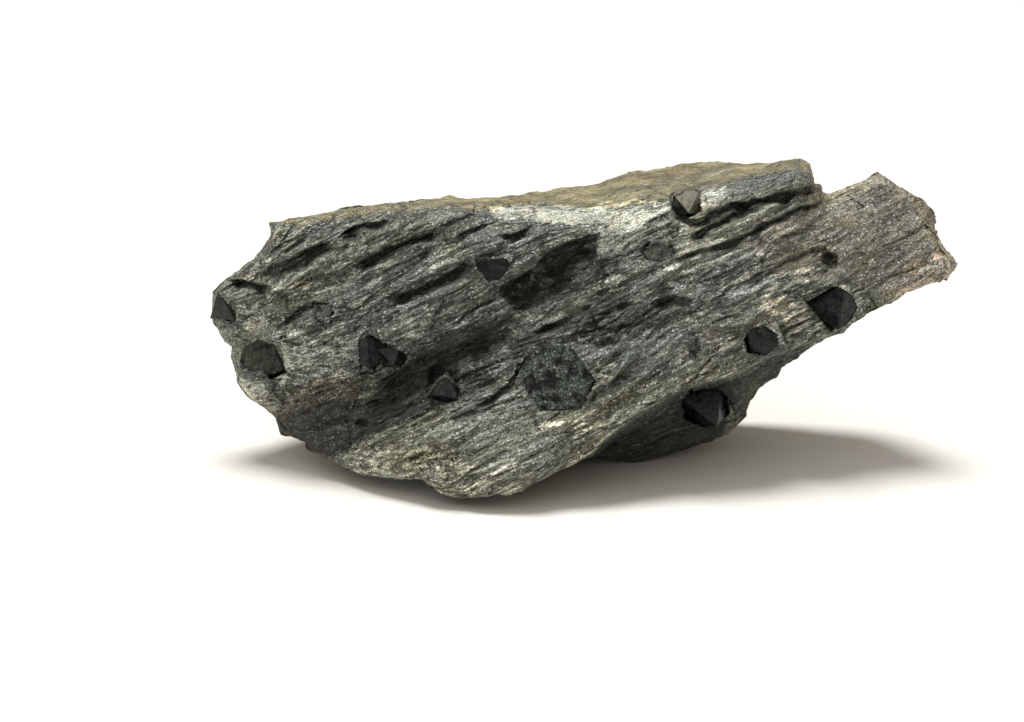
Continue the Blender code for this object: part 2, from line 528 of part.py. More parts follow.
def schist_surface(columns, rows):
    """Closed surface: smooth sheets, their detail along the fan, and the break's relief."""
    u, v = np.meshgrid(crowd(columns), crowd(rows), indexing="ij")
    front, back = outline_patch(u, v), outline_patch(*back_grid(u, v))
    front_smooth, back_smooth = front_height(*front), back_height(*back)
    front_numbers, back_numbers = sheet_numbers(columns, rows)
    faces = np.concatenate([sheet_faces(front_numbers, False), sheet_faces(back_numbers, True)])
    smooth = join_sheets(place(*front, front_smooth), place(*back, back_smooth))
    front_full = place(*front, front_smooth + front_detail(*front))
    back_full = place(*back, back_smooth - back_detail(*back))
    fade = join_sheets(rim_fade(*front)[..., None], rim_fade(*back)[..., None])
    relief = outward_normals(smooth, faces) * break_relief(smooth)[:, None] * fade
    return join_sheets(front_full, back_full) + relief, faces


def schist_mesh(columns, rows):
    points, faces = schist_surface(columns, rows)
    mesh = bpy.data.meshes.new("schist_matrix")
    mesh.from_pydata((points * MM).tolist(), [], faces.tolist())
    mesh.update()
    return mesh


def floor_cutter(cutters):
    """A block under the resting surface; what it takes away leaves the stone's flat rest."""
    work = bmesh.new()
    length, width, height = FLOOR_BLOCK
    sink = Matrix.Translation((0.0, 0.0, -0.5 * height * MM))
    block = Matrix.Diagonal((length * MM, width * MM, height * MM, 1.0))
    bmesh.ops.create_cube(work, size=1.0, matrix=sink @ block)
    cutter = finish_object(work, "floor", cutters, None)
    hide_cutter(cutter)
    return cutter


def crystal_turn(spin, lean, turn):
    """Turn of a crystal seen from the front: spun, leaned over and turned in its place.

    Spun by 45 degrees, a lean of 54.7 brings a face forward; unspun, a lean of 45 an edge.
    """
    spun = Matrix.Rotation(math.radians(spin), 4, "Z")
    leaned = Matrix.Rotation(math.radians(lean), 4, "X")
    turned = Matrix.Rotation(math.radians(turn), 4, "Z")
    axes = Matrix((RIGHT, UP, -BACK)).transposed().to_4x4()
    return axes @ turned @ leaned @ spun


def octahedron(work, edge, turn, centre, grow=0.0):
    """Regular octahedron, its faces moved out by grow."""
    inscribed = edge / math.sqrt(6.0)
    radius = edge / math.sqrt(2.0) * (inscribed + grow) / inscribed
    place_at = Matrix.Translation(Vector(centre) * MM)
    bmesh.ops.create_uvsphere(work, u_segments=4, v_segments=2, radius=radius * MM,
                              matrix=place_at @ turn)


def finish_object(work, name, collection, material):
    mesh = bpy.data.meshes.new(name)
    work.to_mesh(mesh)
    work.free()
    if material:
        mesh.materials.append(material)
    obj = bpy.data.objects.new(name, mesh)
    collection.objects.link(obj)
    return obj


def hide_cutter(obj):
    obj.hide_render = True
    obj.display_type = "WIRE"


def break_off_top(work, centre, height):
    """Break the crystal across at the given height above its centre, towards the front."""
    point = (Vector(centre) - Vector(BACK) * height) * MM
    geometry = work.verts[:] + work.edges[:] + work.faces[:]
    cut = bmesh.ops.bisect_plane(work, geom=geometry, dist=1e-7, plane_co=point,
                                 plane_no=-Vector(BACK), clear_outer=True)
    rim = [item for item in cut["geom_cut"] if isinstance(item, bmesh.types.BMEdge)]
    bmesh.ops.holes_fill(work, edges=rim, sides=0)


def sunk_in(surface, spot, depth):
    """The place that lies the given depth under the schist's face at (a, b)."""
    a, b = np.array(spot[0]), np.array(spot[1])
    return place(a, b, surface(a, b) - depth)


def front_crystals():
    """Every front crystal as (name, [(centre, edge, turn)], height of its broken top)."""
    found = []
    for name, spot, depth, edge, turns, broken in CRYSTALS:
        surface = LUMP if name == UNDER_PLATE else FACE
        centre = sunk_in(surface, spot, depth)
        found.append((name, [(centre, edge, crystal_turn(*turns))], broken))
    twin = [(sunk_in(FACE, spot, depth), edge, crystal_turn(*turns))
            for spot, depth, edge, turns in TWIN]
    found.append((TWIN_NAME, twin, None))
    return found


def back_crystals():
    found = []
    for name, centre, edge, turns in BACK_CRYSTALS:
        turn = Matrix.Identity(4)
        for axis, angle in zip("XYZ", turns):
            turn = Matrix.Rotation(math.radians(angle), 4, axis) @ turn
        found.append((name, [(centre, edge, turn)], None))
    return found


def add_boolean(target, cutter, operation):
    modifier = target.modifiers.new(operation.title(), "BOOLEAN")
    modifier.operation = operation
    modifier.object = cutter
    modifier.solver = "EXACT"


def build_crystal(name, solids, broken, parts, cutters, material):
    """The crystal itself; a twin's second half is joined on with a union."""
    pieces = []
    for number, (centre, edge, turn) in enumerate(solids):
        work = bmesh.new()
        octahedron(work, edge, turn, centre)
        if broken is not None:
            break_off_top(work, centre, broken)
        home = parts if number == 0 else cutters
        label = name if number == 0 else name + "_half"
        pieces.append(finish_object(work, label, home, material))
    for half in pieces[1:]:
        hide_cutter(half)
        add_boolean(pieces[0], half, "UNION")


def build_socket(name, solids, cutters):
    """A cutter for each octahedron, wider than the crystal by the gap on every face."""
    sockets = []
    for number, (centre, edge, turn) in enumerate(solids):
        work = bmesh.new()
        octahedron(work, edge, turn, centre, grow=SOCKET_GAP)
        socket = finish_object(work, f"{name}_socket_{number}", cutters, None)
        hide_cutter(socket)
        sockets.append(socket)
    return sockets


def build_schist(parts, material):
    mesh = schist_mesh(GRID_ALONG, GRID_ACROSS)
    mesh.materials.append(material)
    stone = bpy.data.objects.new("schist_matrix", mesh)
    parts.objects.link(stone)
    skin = stone.modifiers.new("One skin", "REMESH")
    skin.mode = "VOXEL"
    skin.voxel_size = SKIN_SIZE * MM
    thin = stone.modifiers.new("Fewer triangles", "DECIMATE")
    thin.ratio = KEPT_SHARE
    thin.use_collapse_triangulate = True
    return stone


def main():
    clear_scene()
    parts = make_collection("magnetite in chlorite schist")
    cutters = make_collection("cutters")
    schist = make_material("chlorite schist", (0.105, 0.112, 0.095), 0.6, 0.0)
    magnetite = make_material("magnetite", (0.020, 0.021, 0.023), 0.35, 0.3)
    stone = build_schist(parts, schist)
    add_boolean(stone, floor_cutter(cutters), "DIFFERENCE")
    for name, solids, broken in front_crystals() + back_crystals():
        build_crystal(name, solids, broken, parts, cutters, magnetite)
        for socket in build_socket(name, solids, cutters):
            add_boolean(stone, socket, "DIFFERENCE")


main()
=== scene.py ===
"""Magnetite octahedra in a broken hand specimen of chlorite schist: the dressed model.

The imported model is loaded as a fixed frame.  The schist and the crystals are drawn again
here as fine surfaces in the same places, each with the material of the real thing.

All shapes are worked out in millimetres and written in metres.  The stone is measured from
an upright base plane that leans back a little: a runs to the right, b runs up, and h stands
out towards the front.  The lines along which h is measured fan out from one apex.
"""

import math
from functools import partial

import bpy
import numpy as np
from mathutils import Matrix, Vector


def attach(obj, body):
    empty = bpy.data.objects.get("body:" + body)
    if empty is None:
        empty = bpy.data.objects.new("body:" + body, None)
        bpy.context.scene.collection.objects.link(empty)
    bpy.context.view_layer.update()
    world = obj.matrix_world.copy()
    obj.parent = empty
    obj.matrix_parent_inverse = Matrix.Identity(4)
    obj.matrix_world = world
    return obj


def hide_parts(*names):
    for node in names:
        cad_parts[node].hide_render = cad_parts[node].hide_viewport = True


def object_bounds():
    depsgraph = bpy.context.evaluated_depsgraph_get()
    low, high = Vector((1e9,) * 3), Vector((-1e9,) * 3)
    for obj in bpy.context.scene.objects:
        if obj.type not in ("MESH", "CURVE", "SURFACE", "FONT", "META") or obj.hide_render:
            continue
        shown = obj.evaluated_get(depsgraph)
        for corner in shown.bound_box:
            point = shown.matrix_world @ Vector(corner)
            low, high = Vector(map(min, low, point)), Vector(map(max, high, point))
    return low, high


bl_info = {
    "name": "Magnetite in Chlorite Schist",
    "version": (1, 0, 0),
    "blender": (4, 5, 0),
    "location": "View3D > Sidebar > Specimen",
    "description": "Draws a broken piece of chlorite schist with magnetite crystals",
    "category": "Object",
}

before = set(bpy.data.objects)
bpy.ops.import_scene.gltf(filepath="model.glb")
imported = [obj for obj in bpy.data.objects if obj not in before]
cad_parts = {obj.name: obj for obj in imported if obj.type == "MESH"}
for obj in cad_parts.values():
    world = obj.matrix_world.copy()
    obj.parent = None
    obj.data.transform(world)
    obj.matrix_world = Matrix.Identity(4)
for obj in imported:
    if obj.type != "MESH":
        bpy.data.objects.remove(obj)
CAD_BOX = [list(corner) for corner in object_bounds()]

MM = 0.001
LOW, HIGH = np.array(CAD_BOX) / MM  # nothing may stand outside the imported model's box

# ---- base plane ---------------------------------------------------------------------
LEAN = math.radians(13.36)
ROLL = math.radians(1.07)
FAN_LENGTH = 117.0
APEX = np.array((-7.85, -119.46, 39.37))
PLANE_ORIGIN = (7.33, -12.69)

RIGHT = np.array((math.cos(ROLL), math.sin(ROLL) * math.sin(LEAN), math.sin(ROLL) * math.cos(LEAN)))
UP = np.array((-math.sin(ROLL), math.cos(ROLL) * math.sin(LEAN), math.cos(ROLL) * math.cos(LEAN)))
BACK = np.array((0.0, math.cos(LEAN), -math.sin(LEAN)))

# ---- outline of the stone, (a, b), four sides from corner to corner -------------------
TOP_SIDE = [
    (-32.3, 27), (-29.8, 27.3), (-25, 28.4), (-20, 29), (-14.8, 29.5), (-13.8, 29.9), (-12.8, 29.5),
    (-8.5, 29.6), (-5, 30.1), (-2, 30.6), (1, 30.9), (3, 31.5), (5, 32.2), (10, 33.1), (14, 33.4),
    (16.5, 33), (18.5, 33), (20.5, 33.5), (22.5, 33.6), (23.4, 33.1), (23.7, 32.3), (23.8, 31.1),
    (24.5, 30.8), (24.8, 30.1), (25.4, 29.9), (28.5, 31.2), (30.5, 32.2), (31.2, 31.8), (32.2, 31),
    (33.8, 30.1), (35.3, 29.2), (36.2, 28), (36.3, 27.2), (36.4, 26.2), (37.5, 24.2), (38.7, 22.8),
]
RIGHT_SIDE = [(37.6, 21.1), (38.3, 22), (38.7, 22.8)]
BOTTOM_SIDE = [
    (-35.6, 10.4), (-34.4, 8.8), (-33.2, 7.9), (-31.8, 6.9), (-31.2, 5.2), (-30, 4.9), (-28.7, 4.5),
    (-28.4, 3.7), (-26.8, 2.6), (-25, 1.9), (-23, 1), (-20.2, 0.7), (-16.6, 0.4), (-15.6, -0.3),
    (-14.7, -1.2), (-12.8, -1.5), (-10, -1.4), (-6.5, -0.8), (-5, 0), (-2.5, 1.3), (0, 2.4), (1.5, 2.8),
    (3.8, 2.5), (5.4, 2.1), (8, 2.9), (12, 4), (15, 5), (16, 6.2), (16.9, 7), (17.5, 9), (18.2, 10),
    (20, 10.9), (21, 12.3), (23, 13.7), (25, 15), (26.8, 15.6), (28.3, 16.9), (29.6, 17.9), (32.5, 19),
    (33.5, 19.7), (35.5, 20.5), (37.6, 21.1),
]
LEFT_SIDE = [
    (-35.6, 10.4), (-35.9, 11.6), (-36.4, 13.2), (-36.3, 14.2), (-36.9, 14.8), (-37.4, 15.6),
    (-37.9, 16.6), (-38.4, 18.3), (-38.2, 19.7), (-36.9, 21.1), (-34, 23.3), (-32.3, 25.6), (-32.3, 27),
]
EDGE_ROUND = 0.9                    # radius worn on the front's rim
THIN_RIM = 3.0                      # band along the rim where all relief grows weaker
RIM_SHARE = 0.15                    # share of the relief that is left on the rim itself
WALL_DEPTH = 2.2                    # band behind the rim that turns into the back
LEAST_THICKNESS = 3.0

# ---- front relief, (a, b, h) ------------------------------------------------------------
FACE_POINTS = [
    (-32.3, 27, -1.5), (-25, 28.4, -2.5), (-14, 29.5, -4), (-5, 30.1, -8), (1, 30.9, -10), (5, 32.2, -12),
    (10, 33.1, -13), (14, 33.4, -12), (18.5, 33, -8), (22.5, 33.6, -3.5), (25.3, 29.9, -3.5),
    (30.5, 32.2, -5), (35.3, 29.2, -6.5), (38.7, 22.8, -5.5), (37.6, 21.1, -3.5), (33, 19.3, -2),
    (28.3, 16.9, -0.5), (24, 14.6, 0.5), (-34, 23.3, -1.5), (-38.4, 18.5, -4.5), (-36.2, 14.4, -3.5),
    (-35.4, 10.2, -3.5), (-32.4, 7.6, -3.5), (-31.2, 5.1, -4), (-28.4, 3.7, -1.5), (-25, 1.9, 1.5),
    (-20.2, 0.7, 5), (-15.6, -0.3, 7.5), (-12, -1.5, 8.5), (-6.5, -0.8, 8.6), (0, 2.4, 7.4), (4, 3, 6.6),
    (-27.5, 27, 0.6), (-21, 27.8, 1.6), (-14, 28.2, 2.4), (-9, 28, 1.6), (-5, 28.9, -2), (0, 29.3, -2.5),
    (5, 29.6, -2.5), (8, 31.2, -7), (13, 31.6, -6), (9.5, 29.8, -1), (16, 31.2, -0.5), (20.5, 32.3, 0.5),
    (-6, 27.6, 2.4), (0, 27.6, 2.6), (5, 27.4, 2.2), (12, 29.3, 2.4), (18, 30.4, 2.4), (22.8, 31.6, 1.6),
    (-33, 23.6, 0.4), (-29, 25.4, 1.4), (-22, 25.6, 3.2), (-15, 25.6, 4.2), (-8, 25.2, 5), (-2, 25.6, 5),
    (1.6, 25.8, 4.6), (-9.5, 22, 5.2), (-4, 23, 4.6), (-27, 21.5, 2.4), (-20, 21.5, 4), (-14, 20, 5.2),
    (-36.6, 18, -1.8), (-33.5, 19, 0.4), (-30, 16, 1.8), (-24, 17, 4), (-17, 16, 5.8), (-10, 17, 6.2),
    (-5, 18, 5), (0, 21, 4), (5, 24.6, 3.2), (8, 21.5, 3.4), (14, 24, 1.8), (20, 26.5, 0.4),
    (26, 27, -1.4), (31, 28, -3), (34.5, 25, -2.8), (30, 22, -0.6), (24, 21.5, 1), (17, 20, 2.8),
    (10, 16.5, 4.6), (3, 16.5, 5.6), (-4, 15.5, 6.6), (-33, 11.5, -1), (-29, 12, 1.4), (-22, 12.5, 4.6),
    (-17, 12.5, 5.2), (-12, 12.5, 6.2), (-28.5, 7.5, 0.4), (-23, 8, 2.8), (-18, 9.5, 4.4),
    (-25.5, 4.5, 1.2), (-21, 5.2, 4.6), (-15, 7.2, 7.4), (-9, 8, 7.8), (-3, 10.8, 7.4), (-12, 3, 8.8),
    (-5, 4.5, 8.6), (1, 6.5, 7.4), (4, 11, 6.4), (10, 11.6, 5.2), (16, 12.6, 3.6), (20.5, 15, 2.2),
    (25, 18, 1.2), (8, 7.5, 5.6), (14, 9.5, 3.8),
]
# The plate's lower edge, and the lump that stands behind it down to the resting surface.
PLATE_EDGE = [
    (-1.5, 1.5), (0.9, 2.8), (2.2, 4), (5, 6.1), (8, 8), (10, 9.3), (13, 10.4), (15.5, 11.1), (18, 12.4),
    (20, 13.2), (22, 14), (25, 15.3),
]
LUMP_POINTS = [
    (1.5, 2.8, -4.5), (5.4, 2.1, -7), (10, 3.5, -7.5), (15, 5, -8), (17.2, 8, -7), (20, 10.9, -5),
    (23, 13.7, -2.5), (5, 4.5, -4), (9, 6.5, -3), (13, 8.8, -3.5), (14.5, 6.8, -4.6), (16.3, 9.8, -3.2),
    (18.5, 11.5, -2.4), (11, 5, -5), (8, 3.9, -5.4),
]
STEP_BLEND = 0.25                   # width over which the plate gives way to the lump
PLATE_ROUND = 0.7                   # the plate's broken edge is rounded over this width

# ---- ledges of the foliation: line, drop, slot width, length of the ramp below ---------
LEDGES = [
    ([(-37, 21.1), (-34.5, 20.9), (-33, 20.5), (-31.9, 20.4)], 2.4, 0.7, 2.5),
    ([(-33.4, 22.3), (-31, 23.1), (-29.3, 23.5), (-27.5, 24.8), (-25.8, 25.3)], 2.1, 0.9, 2.0),
    ([(-25.6, 25.4), (-24, 26.5), (-22.5, 27), (-19.8, 27.1)], 2.1, 0.9, 1.8),
    ([(-23.8, 22.7), (-22.5, 23.3), (-20, 24.5), (-17, 25.5), (-14.8, 26.2)], 1.7, 0.6, 1.3),
    ([(-32, 16), (-29.9, 17.8), (-28.6, 18.4), (-27.6, 18.9), (-25.6, 18.6)], 1.2, 0.5, 1.6),
    ([(-20.2, 19.1), (-15.5, 20.9), (-13.5, 22.2), (-11.8, 23.4)], 1.8, 0.9, 2.2),
    ([(-13.6, 25.3), (-11.5, 26.5), (-9.6, 27.4)], 0.7, 0.3, 1.2),
    ([(-9.2, 25.5), (-7.5, 26), (-5.3, 26.9)], 1.2, 0.5, 1.6),
    ([(-9, 20.2), (-6.5, 21.5), (-4.5, 23), (-2.8, 24.2), (-0.6, 25.4), (1.9, 26.3)], 3.2, 1.4, 3.6),
    ([(-8.2, 18.6), (-6, 19.2), (-3.4, 20.6), (-1, 22.2)], 1.4, 0.7, 1.8),
    ([(-5.2, 15.9), (-2, 17.2), (0, 18.4), (1.6, 18.9)], 1.2, 0.5, 1.8),
    ([(1.4, 17.4), (3.5, 18.5), (5.4, 19.2)], 0.9, 0.4, 1.4),
    ([(6.5, 18.6), (9, 19.4), (11.6, 19.4)], 1.2, 0.5, 1.6),
    ([(5.6, 24.6), (7, 25.1), (9.2, 25.1)], 1.0, 0.4, 1.0),
    ([(9.2, 28.2), (10.5, 27.6), (11.8, 27.5), (13.4, 28.2), (15.6, 29), (18, 29.6), (20.6, 30.1),
     (24.4, 30.9)], 2.2, 0.7, 1.0),
    ([(10.6, 25.4), (13, 26.9), (15, 27.7), (18.2, 28.9)], 1.7, 0.5, 0.7),
    ([(9.6, 23.3), (12, 24.3), (14.5, 25), (18, 26.6), (20, 27.7), (22, 28.7),
     (24.6, 29.3)], 1.7, 0.4, 1.0),
    ([(18.6, 21.8), (21, 23.2), (23, 24.1), (24.8, 24.3), (26, 23.3)], 0.7, 0.3, 0.8),
    ([(0.2, 14.5), (2.5, 15.1), (4, 15.3)], 1.0, 0.4, 1.2),
    ([(-11.2, 8.2), (-9.5, 9), (-8, 10.2), (-6.8, 11.8), (-5.2, 14.3), (-3, 15.2)], 1.2, 0.5, 1.2),
    ([(0, 8.4), (1.5, 10), (3, 11), (5.2, 12.2)], 1.3, 0.6, 1.4),
    ([(-20.8, 1.1), (-18.8, 2.4), (-16.2, 3.7)], 0.9, 0.3, 1.2),
    ([(-21.5, 10.6), (-19, 11.8), (-16, 13.4), (-11, 15.3), (-7, 16.4)], 1.8, 1.0, 3.6),
    ([(-22.5, 8.2), (-19.5, 9.6), (-17.2, 11.4), (-15.6, 12.7), (-13, 13.4)], 1.1, 0.5, 1.4),
    ([(-31.6, 23.5), (-30, 24.7), (-28, 25.6)], 0.7, 0.25, 0.8),
    ([(-30.7, 20), (-29, 20.8), (-27, 21.9)], 0.6, 0.2, 0.6),
    ([(-26.6, 17.9), (-25, 18.4), (-23, 18)], 0.6, 0.25, 0.7),
    ([(-9.9, 24.6), (-8, 25), (-6.2, 25.4)], 0.5, 0.2, 0.5),
    ([(-13.3, 16.6), (-11, 18.2), (-8.8, 19.4)], 0.7, 0.25, 0.8),
    ([(10.8, 20.8), (14.1, 22.9), (16, 24.1), (18.4, 24.9)], 0.8, 0.25, 0.9),
    ([(14.1, 19.6), (17, 21.3), (19.7, 22.9)], 0.6, 0.2, 0.7),
    ([(2.2, 15.7), (4, 16.5), (6.2, 16.9)], 0.7, 0.3, 0.8),
    ([(15.8, 31.2), (17.5, 31.8), (19.4, 32.3), (21.8, 32.7)], 0.5, 0.15, 0.8),
    ([(-19, 5.6), (-16, 7.2), (-14.2, 7.8)], 0.5, 0.2, 0.7),
    ([(-13.6, 0.4), (-11.6, 1.2), (-10.4, 0.6)], 0.5, 0.2, 0.6),
    ([(-29.6, 9.2), (-26.6, 10.4), (-24, 11.4)], 0.6, 0.25, 0.9),
    ([(-30.4, 6.8), (-27.6, 8.2), (-25.6, 8.9)], 0.6, 0.25, 0.8),
]
RAMP_SHARE = 0.42                   # the fine break's ramps are this much shorter and steeper
LEDGE_END = 1.4                     # a ledge dies out over this length at each end
LEDGE_LIP = 0.14                    # width of the step from ledge to slot
SLOT_SHADE_DEPTH = 1.2                     # a slot this deep gets the full painted shade
RIM_WORN = 1.5                      # width of the yellowish worn rim
LIP_HIGHLIGHT_REACH = 0.35                    # the yellowish painted highlight on the lip above a ledge is twice this wide
SLOT_WANDER = 1.5                   # a slot grows wider and narrower over this length
WANDER_SHARE = 0.5                  # and by this part of its own width
SLOT_DROP = (0.85, 0.3)             # share of a ledge's drop that it has: mean and wander
RAMP_POWER = 1.5                    # the higher, the more a ramp is hollowed
PIT_POWER = 6                       # the higher, the steeper a pit's sides
# how far a place is shaken: spacing and reach of the noise, how much finer its second part
# is and the share that it has, and the seeds of both parts for a and for b
RAGGED = (1.7, 0.16, 3.4, 0.8, ((7, 37), (8, 38)))      # the ledges' lines break raggedly
FRAYED = (1.3, 0.14, 3.0, 0.5, ((91, 92), (93, 94)))    # the outline is frayed

# ---- pits: (a, b) of the middle, half width, half height, depth ---------------------------
PITS = [
    (-33.0, 12.9, 2.5, 2.2, 1.5), (-15.1, 11.0, 1.2, 1.3, 1.7), (-22.7, 6.4, 0.8, 0.5, 0.9),
    (11.6, 13.9, 0.5, 1.6, 0.9), (25.4, 23.0, 0.9, 0.9, 1.4),
]

# ---- flakes: flat scales of the break, drawn out along the foliation ----------------------
FLAKE_LENGTH = 9.0
FLAKE_WIDTH = 3.4
FLAKE_STEP = 0.45                   # how far one flake may stand above the next
FLAKE_TILT = 0.5                    # rise from a flake's middle to its end

# ---- back of the stone: flat breaks, outward direction and a point on each --------------
BREAKS = [
    ((0.00, 0.00, -1.00), (0.0, 0.0, -0.5)),
    ((0.05, 1.00, 0.12), (0.0, 15.4, 14.0)),
    ((0.05, 0.62, 0.78), (8.0, 14.0, 31.6)),
    ((-0.80, 0.58, 0.05), (-34.5, 4.0, 16.0)),
    ((-0.46, 0.12, -0.88), (-16.5, 0.0, -0.5)),
    ((0.62, 0.10, -0.78), (13.0, 4.0, -0.5)),
    ((0.84, 0.50, 0.10), (37.0, 8.0, 24.0)),
    ((0.08, 0.66, -0.74), (0.0, 12.0, -0.2)),
    ((-0.28, 0.74, 0.60), (-26.0, 8.0, 26.0)),
    ((0.30, 0.86, 0.42), (24.0, 12.6, 28.0)),
    ((-0.34, 0.90, -0.20), (-20.0, 13.4, 10.0)),
    ((0.00, -0.26, -0.97), (0.0, -7.5, -0.5)),
]

# ---- foliation ----------------------------------------------------------------------------
FOLIATION_NORMAL = np.array((-0.40, -0.32, 0.86))
LAYER_THICKNESS = 1.9               # mean spacing of the broken layer edges
LAYER_STEP = 0.42                   # how far a layer edge stands out
LAYER_SHARE = 0.78                  # part of a layer's thickness before it gives way to the next
LAYER_LENGTH = 11.0                 # distance over which a layer's edge wanders in and out
FOLD_SIZE = 14.0                    # the layers are gently folded: spacing and reach in layers
FOLD_REACH = 1.2
BUMP_SIZE = 6.5                     # spacing of the broad swells
BUMP_HEIGHT = 0.55

# ---- scatter: fixed numbers that make neighbouring cells unlike -------------------------------
SCATTER = np.array((127.1, 311.7, 74.7))
SCATTER_GAIN = 43758.5453
NOISE_SEED = 17.3                   # what one more seed adds, in noises and in cells
CELL_SEED = 31.7
UNLIKE_ROW = 3.7                    # rows this far apart have nothing to do with each other

# ---- magnetite crystals ---------------------------------------------------------------------
# name, (a, b) of the centre, how deep the centre lies under the schist's face, edge,
# (spin, lean, turn) in degrees, height of a broken top above the centre
CRYSTALS = [
    ("magnetite_broken_large", (-2.9, 11.0), 0.0, 7.8, (45.0, 44.0, 6.0), 0.0),
    ("magnetite_upper_slab", (-9.4, 22.1), 1.9, 4.6, (45.0, 60.0, 4.0), None),
    ("magnetite_lower_triangle", (-14.3, 9.6), 0.6, 2.9, (45.0, 70.0, 172.0), None),
    ("magnetite_left_pit", (-33.2, 12.9), 1.8, 5.0, (45.0, 20.0, 24.0), 0.5),
    ("magnetite_left_end", (-36.4, 18.3), 1.6, 3.6, (45.0, 90.0, -60.0), None),
    ("magnetite_right_octahedron", (26.0, 18.1), 1.2, 4.7, (0.0, 45.0, -9.0), None),
    ("magnetite_right_small", (18.5, 14.9), 0.9, 4.2, (0.0, 45.0, 70.0), None),
    ("magnetite_top_slab", (10.6, 28.9), 0.3, 3.0, (-41.0, 34.0, 3.0), None),
    ("magnetite_under_plate", (12.6, 8.1), 1.4, 4.9, (45.0, 42.0, 20.0), None),
    ("magnetite_left_small", (-26.8, 17.5), 0.9, 2.3, (0.0, 45.0, 40.0), None),
    ("magnetite_grey_lozenge", (7.8, 23.8), 0.0, 3.0, (45.0, 54.7, -6.0), 0.0),
]
UNDER_PLATE = "magnetite_under_plate"
TWIN_NAME = "magnetite_twin_left"
TWIN = [((-22.0, 13.6), 0.9, 3.5, (0.0, 45.0, 6.0)), ((-19.6, 13.1), 0.7, 2.5, (45.0, 30.0, 12.0))]
# crystals on the far side: name, point in x, y, z, edge, turns about X, Y and Z in degrees
BACK_CRYSTALS = [
    ("magnetite_back_left", (-14.0, 14.2, 18.0), 4.4, (20.0, 35.0, 10.0)),
    ("magnetite_back_middle", (6.0, 14.9, 10.5), 3.4, (50.0, 10.0, 30.0)),
    ("magnetite_back_right", (22.0, 12.6, 21.0), 5.0, (35.0, 20.0, -15.0)),
]

# ---- what the fine surface adds ------------------------------------------------------------
RIM_CROWDING = 0.3                  # 0 spaces the grid evenly, 1 crowds it at the rim
EVEN_SHARE = 0.6                    # how far the back's grid is evened out over its walls
EVEN_MARGIN = 0.3                   # part of the grid over which that dies out to the rim
EDGE_SHARPNESS = 60.0               # power that rounds the crystals' edges
LEAST_ROOM = 1e-3                   # the least distance from a crystal's middle to a face
BROKEN_DEPTH = 0.33                 # a broken crystal's middle lies this share of its edge back
TERRACES = (1.3, 2.5, 61)           # growth steps: spacing, number, seed
ROUGHNESS = (0.35, 0.25, 62)        # roughness on them: spacing, share of a step, seed
STONE_CREASE = 38.0                 # edges sharper than this many degrees stay crisp
CRYSTAL_CREASE = 25.0
FILM_START = 0.45                   # a film lies on what faces its side by more than this share
FILM_EDGE = 0.1
STREAK_ANGLE = math.radians(25.0)   # the foliation's streaks rise this much to the right
FLAKE_SHARE = 0.6                   # share of the large flakes' relief that the fine break keeps
FINE_FLAKES = [                     # length, width, step, tilt, seed: smaller scales of the break
    (6.0, 1.0, 0.10, 0.20, 41), (2.2, 0.45, 0.05, 0.10, 51),
]
SHINGLES = [                        # spacing, length, height, seed: splinters that overlap downwards
    (3.1, 17.0, 0.75, 71), (1.25, 8.0, 0.50, 74), (0.55, 4.0, 0.27, 77),
]
CELL_EDGE = 0.1                     # a scale's middle keeps this share of its cell from the edge
RIDGES = [                          # spacing, length, share, seed of the ridges of the break
    (1.0, 9.0, 1.0, 32), (0.45, 4.0, 0.5, 33), (0.24, 2.0, 0.25, 34),
]
RIDGE_SWAY = (1.1, 11.0, 6.0, 31)   # the ridges sway: reach, length, width and seed
SHINGLE_LIP = 0.10                  # part of a splinter's width taken by its steep lower edge
SHINGLE_BEND = (1.2, 3.0)           # their rows bend by so many rows, over so many of them
SHINGLE_FRAY = (0.3, 4.0)           # and fray by this much, over so much shorter a length
SHINGLE_RISE = (0.45, 0.75, 1.7)    # a row's height: mean, reach, how often it comes and goes
SHINGLE_SINK = 0.2                  # all splinters sink by this, so that the face keeps its place

# ---- loose mica flakes --------------------------------------------------------------------
FLAKE_CLEAR = 0.4                   # no loose flake lies lower than this above the table
FLAKE_CORNERS = 5
FLAKE_POINTS = FLAKE_CORNERS + 2    # its corners and its two tips
FLAKE_LEAN = 0.30                   # how far a flake leans away from the face that it lies on
FLAKE_STRAY = 0.5                   # how far its long side strays from the streaks
FLAKE_NARROW = 0.62                 # its width as a share of its length
FLAKE_THICK = 0.22                  # half its thickness as a share of its size
SKIN_FLAKES = 0.7                   # on the weathered skin flakes are smaller by this share
SHADE_POWER = 1.6                   # the higher, the fewer bright flakes

